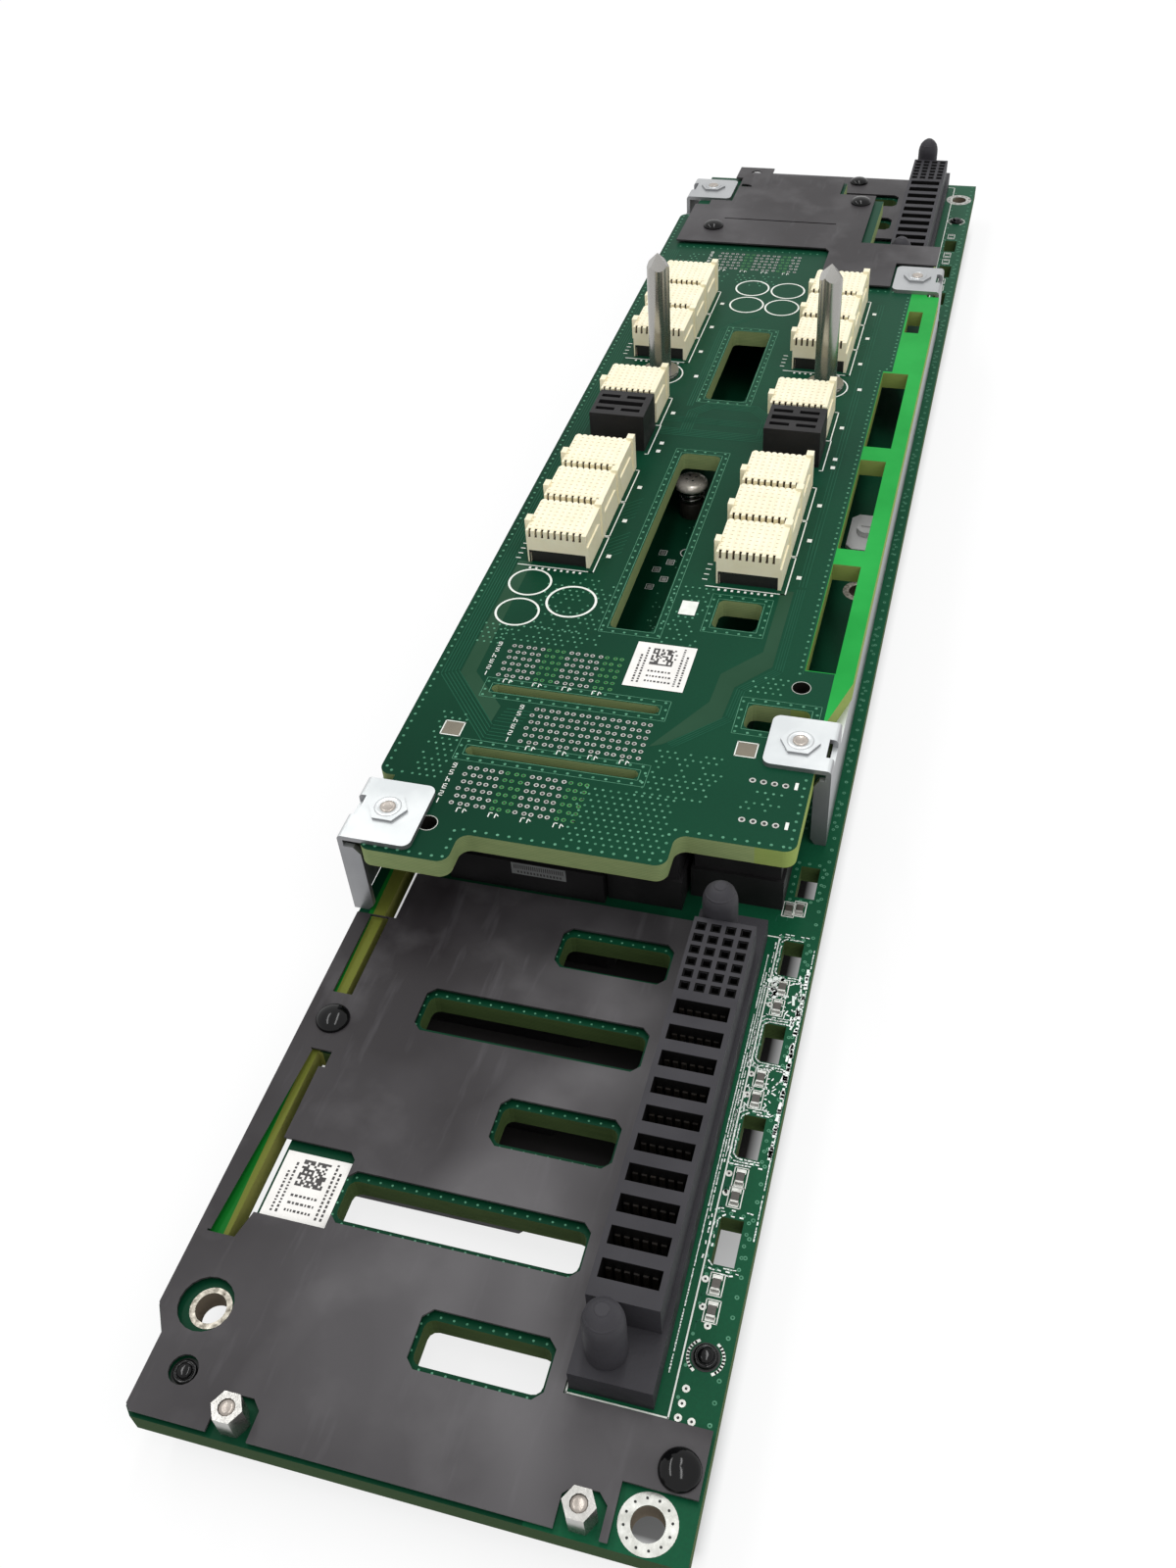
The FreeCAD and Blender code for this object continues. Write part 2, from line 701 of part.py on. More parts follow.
# Insulating sheet over the near end of the lower board
def build_near_insulator():
    body = body_named("lower_insulator_near")
    base = lower_top + sheet_gap
    plan = sketch_in(body, "near_sheet_plan", "XY_Plane", base)
    left = -half_width + sheet_margin
    outline(plan, [
        (near_section_left + corner_cut, near_end + sheet_margin),
        (30.9, near_end + sheet_margin),
        (30.9, along(8.2)),
        (half_width - sheet_margin, along(8.2)),
        (half_width - sheet_margin, along(17.3)),
        (power_base_left - 0.4, along(17.3)),
        (power_base_left - 0.4, along(power_far_end + 0.1)),
        (-33.6, along(power_far_end + 0.1)),
        (-33.6, along(92.2)),
        (left, along(92.2)),
        (left, along(left_step_far)),
        (near_section_left + sheet_margin, along(left_step_near)),
        (near_section_left + sheet_margin, near_end + corner_cut),
    ])
    pad(body, plan, sheet_thick, "near_sheet")

    top = base + sheet_thick

    def opening_run(label, left_x, index, count):
        sketch = sketch_in(body, label + "_open_plan", "XY_Plane", top)
        middle = along(slot_first + drive_pitch * index)
        half = slot_width / 2 + sheet_slot_extra
        chamfered(sketch, left_x, middle - half, slot_right + 0.5, middle + half, slot_corner)
        cut = pocket(body, sketch, sheet_thick, label + "_open")
        if count > 1:
            repeat(body, cut, sketch, "V_Axis", drive_pitch * 2, count, label + "_open_run")

    opening_run("near_short", short_slot_left - 0.5, 0, 3)
    opening_run("near_long", long_slot_left - 0.5, 1, 2)

    cutouts = sketch_in(body, "near_cutouts_plan", "XY_Plane", top)
    outline(cutouts, [
        (-39.4, along(27.7)),
        (-34.8, along(27.7)),
        (-33.7, along(32.2)),
        (-21.9, along(32.2)),
        (-21.9, along(44.2)),
        (-23.0, along(45.4)),
        (-34.6, along(45.4)),
        (-34.6, along(59.2)),
        (-33.5, along(59.2)),
        (-33.5, along(62.4)),
        (-37.4, along(62.4)),
        (-39.4, along(54.0)),
    ])
    pocket(body, cutouts, sheet_thick, "label_and_rail_opening")
    edge_cut = sketch_in(body, "near_edge_cut_plan", "XY_Plane", top)
    outline(edge_cut, [
        (-38.4, along(74.2)),
        (-34.8, along(74.2)),
        (-34.8, along(92.0)),
        (-38.4, along(92.0)),
    ])
    pocket(body, edge_cut, sheet_thick, "second_rail_opening")

    notches = sketch_in(body, "near_notch_plan", "XY_Plane", top)
    for centre_x in (standoff_left_x, standoff_right_x):
        chamfered(notches, centre_x - 3.1, near_end - 3.0, centre_x + 3.1, along(standoff_y) + 3.2, slot_corner)
    pocket(body, notches, sheet_thick, "standoff_notches")
    rounds = sketch_in(body, "near_round_plan", "XY_Plane", top)
    round_hole(rounds, hole_near_left_x - 0.5, along(hole_near_left_y), 4.2, 20)
    round_hole(rounds, snap_spots[0][0], along(snap_spots[0][1]), 2.2, 16)
    for px, py in rivet_spots_lower[:2]:
        stem_hole(rounds, px, along(py))
    pocket(body, rounds, sheet_thick, "near_round_holes")
    made.append(body)


# Insulating sheet over the far end of the lower board
def build_far_insulator():
    body = body_named("lower_insulator_far")
    base = lower_top + sheet_gap
    plan = sketch_in(body, "far_sheet_plan", "XY_Plane", base)
    far_edge = -near_end - sheet_margin
    rectangle(plan, near_section_left + sheet_margin, far_edge - far_sheet_length, power_base_left - 0.4, far_edge)
    pad(body, plan, sheet_thick, "far_sheet")
    top = base + sheet_thick
    for label, left_x, index in (("last_short", short_slot_left, 22), ("last_long", long_slot_left, 21)):
        sketch = sketch_in(body, label + "_open_plan", "XY_Plane", top)
        middle = along(slot_first + drive_pitch * index)
        half = slot_width / 2 + sheet_slot_extra
        chamfered(sketch, left_x - 0.5, middle - half, slot_right + 0.5, middle + half, slot_corner)
        pocket(body, sketch, sheet_thick, label + "_open")
    rounds = sketch_in(body, "far_round_plan", "XY_Plane", top)
    stem_hole(rounds, rivet_spots_lower[2][0], along(rivet_spots_lower[2][1]))
    pocket(body, rounds, sheet_thick, "far_round_holes")
    made.append(body)


# Insulating sheet over the far end of the upper board
def build_upper_insulator():
    body = body_named("upper_insulator")
    base = upper_top + sheet_gap
    plan = sketch_in(body, "upper_sheet_plan", "XY_Plane", base)
    outline(plan, [
        (-38.6, along(upper_side_far - 4.6)),
        (5.0, along(upper_side_far - 4.6)),
        (6.3, along(upper_side_far - 6.4)),
        (6.3, along(upper_rail_far + 2.4)),
        (25.8, along(upper_rail_far + 2.4)),
        (25.8, along(upper_rail_far + 16.8)),
        (36.8, along(upper_rail_far + 16.8)),
        (36.8, along(upper_side_far + 0.5)),
        (14.4, along(upper_side_far + 0.5)),
        (14.4, along(upper_inner_far + 1.0)),
        (3.4, along(upper_inner_far + 1.0)),
        (3.4, along(upper_far + 0.9)),
        (-19.6, along(upper_far + 0.9)),
        (-19.6, along(upper_far + 6.1)),
        (-30.2, along(upper_far + 6.1)),
        (-30.2, along(upper_far - 2.3)),
        (-28.0, along(upper_far - 2.3)),
        (-28.0, along(upper_left_end + 8.6)),
        (-34.4, along(upper_left_end + 8.6)),
        (-34.4, along(upper_left_end + 5.0)),
        (-38.6, along(upper_left_end + 5.0)),
    ])
    pad(body, plan, sheet_thick, "upper_cover")
    top = base + sheet_thick
    cuts = sketch_in(body, "upper_cuts_plan", "XY_Plane", top)
    rectangle(cuts, -27.7, along(upper_left_end - 4.4), 5.5, along(upper_left_end - 3.8))
    crescent = upper_inner_far + 3.0
    outline(cuts, [
        (-27.4, along(crescent)),
        (-24.0, along(crescent)),
        (-24.4, along(crescent + 1.1)),
        (-25.6, along(crescent + 1.8)),
        (-27.4, along(crescent + 2.0)),
    ])
    round_hole(cuts, -24.6, along(upper_far + 2.1), 1.7)
    for px, py in rivet_spots_upper:
        stem_hole(cuts, px, along(py))
    pocket(body, cuts, sheet_thick, "upper_cover_cuts")
    made.append(body)


# Power connector: stepped housing, ten contact windows, signal holes, two bullet posts
def build_power_connector(name, shift):
    body = body_named(name)
    place(body, power_base_left, along(power_base_near) + shift, lower_top)
    base_plan = sketch_in(body, name + "_base_plan")
    rectangle(base_plan, 0, 0, power_base_width, power_base_length)
    pad(body, base_plan, power_base_height, name + "_base")
    left = power_left - power_base_left
    body_plan = sketch_in(body, name + "_body_plan")
    rectangle(body_plan, left, power_body_near, left + power_width, power_body_near + power_body_length)
    pad(body, body_plan, power_body_height, name + "_body")

    window_plan = sketch_in(body, name + "_window_plan", "XY_Plane", power_body_height)
    margin = (power_width - window_length) / 2
    rectangle(window_plan, left + margin, window_first, left + margin + window_length,
              window_first + window_width)
    window = pocket(body, window_plan, window_depth, name + "_window")
    repeat(body, window, window_plan, "V_Axis", contact_pitch * 2, 10, name + "_windows")

    signal_plan = sketch_in(body, name + "_signal_plan", "XY_Plane", power_body_height)
    first_x = left + power_width / 2 - contact_pitch * 1.5
    for column in range(4):
        middle = first_x + contact_pitch * column
        rectangle(signal_plan, middle - signal_hole / 2, signal_first_row - signal_hole / 2,
                  middle + signal_hole / 2, signal_first_row + signal_hole / 2)
    signal = pocket(body, signal_plan, signal_depth, name + "_signal")
    repeat(body, signal, signal_plan, "V_Axis", contact_pitch, 6, name + "_signals")

    post_plan = sketch_in(body, name + "_post_plan", "XZ_Plane", -post_offset)
    axis_x = power_base_width / 2 - 1.6
    outline(post_plan, [
        (axis_x, power_base_height - 1.0),
        (axis_x + post_radius, power_base_height - 1.0),
        (axis_x + post_radius, post_shoulder),
        (axis_x + post_radius * 0.84, post_shoulder + (post_height - post_shoulder) * 0.6),
        (axis_x + post_tip_radius, post_height),
        (axis_x, post_height),
    ])
    post = body.newObject("PartDesign::Revolution", name + "_post")
    post.Profile = post_plan
    post.ReferenceAxis = (post_plan, ["Edge6"])
    post.Angle = 360.0
    post_plan.Visibility = False
    repeat(body, post, window_plan, "V_Axis", power_base_length - post_offset * 2, 2, name + "_posts")
    made.append(body)


# Ribbed receptacle: housing, far shelf, tail recess, slits, two ears, side gusset
def build_receptacle_master(name, centre_x, near_y):
    body = body_named(name)
    place(body, centre_x, along(near_y), upper_top)
    half = receptacle_width / 2
    plan = sketch_in(body, name + "_plan")
    rectangle(plan, -half, 0, half, receptacle_length)
    pad(body, plan, receptacle_height, name + "_housing")
    shelf = sketch_in(body, name + "_shelf_plan")
    rectangle(shelf, -half, receptacle_length - 0.5, half, receptacle_length + receptacle_shelf)
    pad(body, shelf, shelf_height, name + "_shelf")

    recess = sketch_in(body, name + "_recess_plan")
    rectangle(recess, -half + side_leg, -0.5, half - side_leg, tail_recess)
    pocket(body, recess, tail_height, name + "_recess", True)

    ears = sketch_in(body, name + "_ear_plan")
    rectangle(ears, half - ear_thick - 0.2, receptacle_length - 0.4,
              half + 0.4, receptacle_length + receptacle_shelf)
    pad(body, ears, ear_height, name + "_far_ear")
    latch = sketch_in(body, name + "_latch_plan", "XY_Plane", ear_foot)
    rectangle(latch, -half - ear_thick, left_ear_y, -half + 0.3, left_ear_y + ear_length)
    pad(body, latch, ear_height - ear_foot, name + "_near_ear")

    side = sketch_in(body, name + "_gusset_plan", "YZ_Plane", half - 0.2)
    outline(side, [
        (0, 0),
        (receptacle_length - 0.8, 0),
        (receptacle_length - 2.6, gusset_height),
        (0, gusset_height),
    ])
    pad(body, side, gusset_thick + 0.2, name + "_gusset")

    comb = sketch_in(body, name + "_comb_plan", "XY_Plane", receptacle_height)
    first_x = slit_shift - slit_pitch * 4
    rectangle(comb, first_x - slit_width / 2, -0.5, first_x + slit_width / 2, slit_reach)
    slit = pocket(body, comb, slit_depth, name + "_slit")
    repeat(body, slit, comb, "H_Axis", slit_pitch, 9, name + "_slits")
    made.append(body)
    return body


def build_copy(name, master, centre_x, near_y, base_z):
    body = body_named(name)
    clone = body.newObject("PartDesign::FeatureBase", name + "_form")
    clone.BaseFeature = master
    body.Tip = clone
    place(body, centre_x, near_y, base_z)
    made.append(body)
    return body


# Black power block with two split rows and one long row of contact slots
def build_power_block(name, centre_x):
    body = body_named(name)
    place(body, centre_x, along(block_y), upper_top)
    half = block_width / 2
    plan = sketch_in(body, name + "_plan")
    rectangle(plan, -half, 0, half, block_length)
    block = pad(body, plan, block_height, name + "_block")
    slots = sketch_in(body, name + "_slot_plan", "XY_Plane", block_height)
    middle = block_length / 2
    left = -half + block_wall
    right = half - block_wall_right
    for offset in (-1, 1):
        centre = middle + block_slot_pitch * offset
        rectangle(slots, left, centre - block_slot * 0.42, -1.1, centre + block_slot * 0.42)
        rectangle(slots, 0.5, centre - block_slot * 0.42, right, centre + block_slot * 0.42)
    rectangle(slots, left, middle - block_slot * 0.6, right, middle + block_slot * 0.6)
    pocket(body, slots, block_slot_depth, name + "_slots")
    made.append(body)


# Guide pin: flange, shaft and a point ground with four flats
def build_guide_pin(name, centre_x):
    centre_y = along(pin_y)
    flange = prism(name + "_flange", pin_flange_radius, pin_flange_thick, centre_x, centre_y, upper_top, 24)
    shaft_base = upper_top + pin_flange_thick
    shaft = cylinder(name + "_shaft", pin_radius, pin_height - pin_flange_thick, centre_x, centre_y, shaft_base)
    reach = pin_height + 1.0
    foot_half = pin_radius * 1.02 / pin_point * reach
    point = square_taper(name + "_point", foot_half, as_size(0.12), reach, 20, centre_x, centre_y, upper_top - 1.0)
    tipped = doc.addObject("Part::MultiCommon", name + "_tipped")
    tipped.Shapes = [shaft, point]
    pin = fused(name, [tipped, flange])
    pin.Label = name
    made.append(pin)


# Side rail: long plate, shelf under the upper board, near flange, two tabs with notches
def build_side_rail(name, outer_x, side, near_y, far_y, flange, tab_width, tabs):
    body = body_named(name)
    place(body, outer_x, along(near_y), lower_top)
    length = far_y - near_y
    level = board_gap + upper_thick
    thick = metal_thick * side
    plate = sketch_in(body, name + "_plate_plan")
    outline(plate, [(0, 0), (thick, 0), (thick, length), (0, length)])
    pad(body, plate, board_gap, name + "_plate")
    shelf = sketch_in(body, name + "_shelf_plan", "XY_Plane", board_gap)
    outline(shelf, [(0, shelf_start), (rail_shelf * side, shelf_start + 1.0),
                    (rail_shelf * side, length - shelf_end - 1.0), (0, length - shelf_end)])
    pad(body, shelf, metal_thick, name + "_shelf", True)
    risers = sketch_in(body, name + "_riser_plan")
    for start, reach, notch, nut_y in tabs:
        outline(risers, [(0, start), (thick, start), (thick, start + reach), (0, start + reach)])
    pad(body, risers, level + metal_thick / 2, name + "_risers")
    tops = sketch_in(body, name + "_tab_plan", "XY_Plane", level + metal_thick)
    inward = tab_width * side
    for start, reach, notch, nut_y in tabs:
        outline(tops, [(0, start), (inward, start), (inward, start + reach), (0, start + reach)])
    pad(body, tops, metal_thick, name + "_tabs", True)
    lip = sketch_in(body, name + "_flange_plan", "XZ_Plane", -metal_thick)
    wide = flange * side
    outline(lip, [(0, 0), (wide * 0.7, 0), (wide, 1.4), (wide, flange_height - 1.6),
                  (wide * 0.7, flange_height), (0, flange_height)])
    pad(body, lip, metal_thick, name + "_flange")
    notches = sketch_in(body, name + "_notch_plan", "XY_Plane", level + metal_thick)
    for start, reach, notch, nut_y in tabs:
        outline(notches, [(-side * 1.0, start + notch), (notch_depth * side, start + notch),
                          (notch_depth * side, start + notch + notch_length),
                          (-side * 1.0, start + notch + notch_length)])
    cut = pocket(body, notches, notch_drop, name + "_notches")
    doc.recompute()
    corners = []
    for start, reach, notch, nut_y in tabs:
        corners.append((inward, start))
        corners.append((inward, start + reach))
    names = upright_edges(cut, numbers(corners))
    rounds = round_edges(body, cut, names, tab_corner, name + "_corners")
    doc.recompute()
    names = []
    top = (level + metal_thick).value
    for number, edge in enumerate(rounds.Shape.Edges):
        ends = (edge.Vertexes[0].Point, edge.Vertexes[-1].Point)
        if max(abs(ends[0].x), abs(ends[1].x)) < 0.01 and min(ends[0].z, ends[1].z) > top - 0.01:
            names.append("Edge%d" % (number + 1))
    round_edges(body, rounds, names, rail_bend, name + "_bend")
    made.append(body)


# Drive receptacle: long narrow housing with a mouth and a contact tongue below
def build_drive_master(name, near_y):
    body = body_named(name)
    place(body, drive_x, near_y, 0)
    half = drive_length / 2
    deep = drive_body / 2
    plan = sketch_in(body, name + "_plan")
    outline(plan, [(-half, -deep), (half - 1.2, -deep), (half, 1.2 - deep), (half, deep), (-half, deep)])
    pad(body, plan, drive_height, name + "_housing")
    mouth = sketch_in(body, name + "_mouth_plan")
    reach = drive_mouth_length / 2
    wide = drive_mouth_width / 2
    outline(mouth, [(-reach, -wide), (reach, -wide), (reach, wide), (reach - 2.4, wide),
                    (reach - 2.4, wide - 1.3), (-reach, wide - 1.3)])
    pocket(body, mouth, drive_mouth_depth, name + "_mouth", True)
    made.append(body)
    return body


rail_list = (
    ("side_rail_left", rail_left_x, 1, rail_left_near, rail_left_far, flange_left, tab_width_left, (
        (as_size(0), tab_left_near, notch_left_near, nut_inset_y),
        (rail_left_far - rail_left_near - tab_left_far, tab_left_far, notch_left_far, nut_inset_y),
    )),
    ("side_rail_right", rail_right_x, -1, rail_right_near, rail_right_far, flange_right, tab_width_right, (
        (as_size(0), tab_right_near, notch_right_near, nut_inset_near),
        (rail_right_far - rail_right_near - tab_right_far, tab_right_far, notch_right_far, nut_inset_y),
    )),
)
nut_spots = []
for rail_name, outer_x, side, near_y, far_y, flange, tab_width, tabs in rail_list:
    for start, reach, notch, nut_y in tabs:
        nut_spots.append((outer_x + nut_inset_x * side, along(near_y) + start + nut_y))

build_lower_board()
build_upper_board()
build_board_connectors()
build_near_insulator()
build_far_insulator()
build_upper_insulator()
build_power_connector("power_connector_near", as_size(0))
build_power_connector("power_connector_far", power_far_shift)

receptacle_rows = (
    near_group_y, near_group_y + receptacle_pitch, near_group_y + receptacle_pitch * 2, single_y,
    far_group_y, far_group_y + receptacle_pitch, far_group_y + receptacle_pitch * 2,
)
master = None
for column, column_x in (("left", column_left_x), ("right", column_right_x)):
    for number, near_y in enumerate(receptacle_rows):
        label = "%s_receptacle_%d" % (column, number + 1)
        if master is None:
            master = build_receptacle_master(label, column_x, near_y)
        else:
            build_copy(label, master, column_x, along(near_y), upper_top)

build_power_block("power_block_left", block_left_x)
build_power_block("power_block_right", block_right_x)
build_guide_pin("guide_pin_left", pin_left_x)
build_guide_pin("guide_pin_right", pin_right_x)
for rail in rail_list:
    build_side_rail(*rail)


# Clinched hex nuts of the rail tabs
def build_rail_nuts():
    nuts = []
    for number, (px, py) in enumerate(nut_spots):
        label = "rail_nut_%d" % (number + 1)
        hexagon = doc.addObject("Part::Prism", label + "_hex")
        hexagon.Polygon = 6
        hexagon.setExpression("Circumradius", nut_radius.text)
        hexagon.setExpression("Height", nut_thick.text)
        place(hexagon, px, py, upper_top + metal_thick)
        nuts.append(hexagon)
    made.append(grouped("rail_nuts", nuts))


# Hex standoffs with a blind bore at the near edge
def build_standoffs():
    parts = []
    for number, px in enumerate((standoff_left_x, standoff_right_x)):
        label = "standoff_%d" % (number + 1)
        hexagon = doc.addObject("Part::Prism", label + "_hex")
        hexagon.Polygon = 6
        hexagon.setExpression("Circumradius", standoff_radius.text)
        hexagon.setExpression("Height", standoff_height.text)
        place(hexagon, px, along(standoff_y), lower_top)
        bore = prism(label + "_bore", standoff_bore, standoff_bore_depth, px, along(standoff_y),
                     lower_top + standoff_height - standoff_bore_depth)
        cut = doc.addObject("Part::Cut", label)
        cut.Base = hexagon
        cut.Tool = bore
        parts.append(cut)
    made.append(grouped("hex_standoffs", parts))


# A low dome in twelve flats, narrower at its top: three square tapers crossed
def faceted_dome(label, px, py, base_z):
    foot = rivet_radius * 0.97
    tapers = []
    for turn in (0, 30, 60):
        taper_name = "%s_taper_%d" % (label, turn)
        tapers.append(square_taper(taper_name, foot, foot * 0.55, rivet_height, turn, px, py, base_z))
    dome = doc.addObject("Part::MultiCommon", label + "_dome")
    dome.Shapes = tapers
    return dome


# Dome rivets: a stem through the insulating sheet and a low dome on top
def build_rivets():
    parts = []
    for spots, floor in ((rivet_spots_lower, lower_top), (rivet_spots_upper, upper_top)):
        for px, py in spots:
            label = "rivet_%d" % (len(parts) + 1)
            rise = floor + sheet_gap + sheet_thick
            stem = doc.addObject("Part::Prism", label + "_stem")
            stem.Polygon = 6
            stem.setExpression("Circumradius", rivet_shank.text)
            stem.setExpression("Height", (sheet_gap + sheet_thick).text)
            place(stem, px, along(py), floor)
            dome = faceted_dome(label, px, along(py), rise)
            parts.append(fused(label, [stem, dome]))
    made.append(grouped("dome_rivets", parts))


# Snap posts standing in the lower board
def build_snap_posts():
    parts = []
    for number, (px, py) in enumerate(snap_spots):
        label = "snap_post_%d" % (number + 1)
        head = doc.addObject("Part::Prism", label)
        head.Polygon = 12
        head.setExpression("Circumradius", snap_radius.text)
        head.setExpression("Height", snap_height.text)
        place(head, px, along(py), lower_top)
        parts.append(head)
    made.append(grouped("snap_posts", parts))


# Captive screw standing on the lower board under the long centre window
def build_captive_screw():
    px, py = screw_x, along(screw_y)
    collar = prism("captive_collar", screw_collar_radius, screw_collar_height, px, py, lower_top)
    neck = prism("captive_neck", screw_neck_radius, screw_total, px, py, lower_top)
    head_base = lower_top + screw_total - screw_head_height
    head = cylinder("captive_head", screw_head_radius, screw_head_height, px, py, head_base)
    slot = doc.addObject("Part::Box", "captive_slot")
    slot.setExpression("Length", (screw_head_radius * 1.1).text)
    slot.setExpression("Width", as_size(0.9).text)
    slot.Height = 1.2
    place(slot, px - screw_head_radius * 0.55, py - 0.45, lower_top + screw_total - 0.8)
    cross = doc.addObject("Part::Box", "captive_cross")
    cross.Length = 0.9
    cross.setExpression("Width", (screw_head_radius * 1.1).text)
    cross.Height = 1.2
    place(cross, px - 0.45, py - screw_head_radius * 0.55, lower_top + screw_total - 0.8)
    cut = doc.addObject("Part::Cut", "captive_head_cut")
    cut.Base = head
    cut.Tool = fused("captive_recess", [slot, cross])
    screw = fused("captive_screw", [cut, neck, collar])
    screw.Label = "captive_screw"
    made.append(screw)


# Small clip plate with its pan head screw on the lower board
def build_clip():
    body = body_named("clip_plate")
    place(body, clip_left, along(clip_near), lower_top)
    plan = sketch_in(body, "clip_plan")
    chamfered(plan, 0, 0, clip_width, clip_length, tab_corner)
    pad(body, plan, metal_thick, "clip_sheet")
    made.append(body)
    px, py = clip_screw_x, along(clip_screw_y)
    head = prism("clip_screw_head", clip_head_radius, 1.5, px, py, lower_top + metal_thick, 18)
    slot = doc.addObject("Part::Box", "clip_screw_slot")
    slot.Length = 3.2
    slot.Width = 0.7
    slot.Height = 1.0
    place(slot, px - 1.6, py - 0.35, lower_top + metal_thick + 0.9)
    screw = doc.addObject("Part::Cut", "clip_screw")
    screw.Label = "clip_screw"
    screw.Base = head
    screw.Tool = slot
    made.append(screw)


# Chip resistors soldered along the right side of the lower board
def build_chips():
    parts = []
    for number, (px, py) in enumerate(chip_spots):
        chip = doc.addObject("Part::Box", "chip_%d" % (number + 1))
        chip.setExpression("Length", chip_width.text)
        chip.setExpression("Width", chip_length.text)
        chip.setExpression("Height", chip_height.text)
        place(chip, px - chip_width / 2, along(py) - chip_length / 2, lower_top)
        parts.append(chip)
    made.append(grouped("chip_resistors", parts))


build_rail_nuts()
build_chips()
build_standoffs()
build_rivets()
build_snap_posts()
build_captive_screw()
build_clip()

drive_master = None
for number in range(drive_count):
    label = "drive_receptacle_%02d" % (number + 1)
    centre_y = along(drive_first + drive_pitch * number)
    if drive_master is None:
        drive_master = build_drive_master(label, centre_y)
    else:
        build_copy(label, drive_master, drive_x, centre_y, 0)

doc.recompute()

bad = []
for thing in doc.Objects:
    if "Invalid" in thing.State or "Error" in thing.State:
        bad.append(thing.Name)
for thing in made:
    if thing.Shape.isNull() or not thing.Shape.isValid():
        bad.append(thing.Label + " shape")
if bad:
    raise RuntimeError("not built: " + ", ".join(bad))

os.makedirs("parts", exist_ok=True)
for thing in made:
    thing.Shape.exportStep("parts/%s.step" % thing.Label)
    box = thing.Shape.BoundBox
    print("%-24s solids %d  X %.1f..%.1f  Y %.1f..%.1f  Z %.1f..%.1f" % (
        thing.Label, len(thing.Shape.Solids), box.XMin, box.XMax, box.YMin, box.YMax, box.ZMin, box.ZMax))
print(len(made), "nodes")
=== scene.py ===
import math
import random

import bpy
from mathutils import Matrix, Vector


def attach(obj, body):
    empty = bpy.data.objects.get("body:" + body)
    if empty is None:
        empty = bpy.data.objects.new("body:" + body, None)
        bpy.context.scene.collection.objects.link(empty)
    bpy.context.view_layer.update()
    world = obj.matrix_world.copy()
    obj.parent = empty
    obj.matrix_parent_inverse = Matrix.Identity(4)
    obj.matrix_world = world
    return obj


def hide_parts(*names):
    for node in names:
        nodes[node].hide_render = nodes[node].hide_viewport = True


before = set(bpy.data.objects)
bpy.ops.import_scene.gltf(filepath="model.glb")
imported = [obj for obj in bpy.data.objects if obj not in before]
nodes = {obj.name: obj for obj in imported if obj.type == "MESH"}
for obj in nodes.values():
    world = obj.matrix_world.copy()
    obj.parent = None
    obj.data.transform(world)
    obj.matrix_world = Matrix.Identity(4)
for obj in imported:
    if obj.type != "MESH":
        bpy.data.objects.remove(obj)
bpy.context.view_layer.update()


random.seed(7)

MM = 0.001


def span(name, axis):
    # Lowest and highest coordinate of a node along one axis of the frame, in millimetres.
    values = [corner[axis] / MM for corner in nodes[name].bound_box]
    return round(min(values), 3), round(max(values), 3)


# Lengths are in millimetres: X across, Y from the near end, Z above the lower board's top face.
NEAR_END = span("lower_board", 1)[0]
BOARD_BOTTOM, LOWER_TOP = span("lower_board", 2)
UPPER = round(span("upper_board", 2)[1] - LOWER_TOP, 3)
LIFT = 0.03


def near_face(name):
    return round(span(name, 1)[0] - NEAR_END, 3)


def at(x, y, z):
    return (x * MM, (y + NEAR_END) * MM, (z + LOWER_TOP) * MM)


# Places that several pieces share
HALF_RECEPTACLE = 7.65
COLUMNS = [round(span(side + "_receptacle_1", 0)[0] + HALF_RECEPTACLE, 3) for side in ("left", "right")]
ROWS = [near_face("left_receptacle_%d" % k) for k in range(1, 8)]
PIN_PITCH = 1.39
POWER_NEAR = near_face("power_connector_near")
SHIFTS = (0.0, round(near_face("power_connector_far") - POWER_NEAR, 3))
POWER_PITCH = 5.08
SIGNAL_PITCH = 2.54
SIGNAL_ROW = POWER_NEAR + 62.7
FIRST_DRIVE = near_face("drive_receptacle_01")
DRIVE_PITCH = round((near_face("drive_receptacle_24") - FIRST_DRIVE) / 23, 3)
STRIP_SLOTS = [45.0 + DRIVE_PITCH * k for k in range(20) if k != 9]
MOUNT_HOLES = [(35.3, 4.2), (36.9, 426.4)]
NARROW_RINGS = [(-33.7, 17.0, 3.15), (34.35, 207.4, 3.7)]
LOWER_HOLES = MOUNT_HOLES + [(px, py) for px, py, outer in NARROW_RINGS]
RINGED_HOLES = [(-28.2, 101.2), (29.9, 150.4)]
SNAP_POSTS = [(-32.9, 7.4), (37.9, 27.3), (37.6, 409.3)]
CAPTIVE_SCREW = (-9.7, 231.0)
CHIPS = [(37.1, 38.1), (37.3, 34.0), (37.1, 55.8), (37.0, 52.4), (36.8, 74.3), (36.8, 70.1), (37.0, 93.1),
         (36.9, 88.8), (35.1, 110.7), (37.0, 111.2)]


def tint(r, g, b):
    # A colour as seen on screen, from 0 to 255, as the shader's linear values.
    def linear(v):
        v = v / 255.0
        return v / 12.92 if v <= 0.04045 else ((v + 0.055) / 1.055) ** 2.4
    return (linear(r), linear(g), linear(b), 1.0)


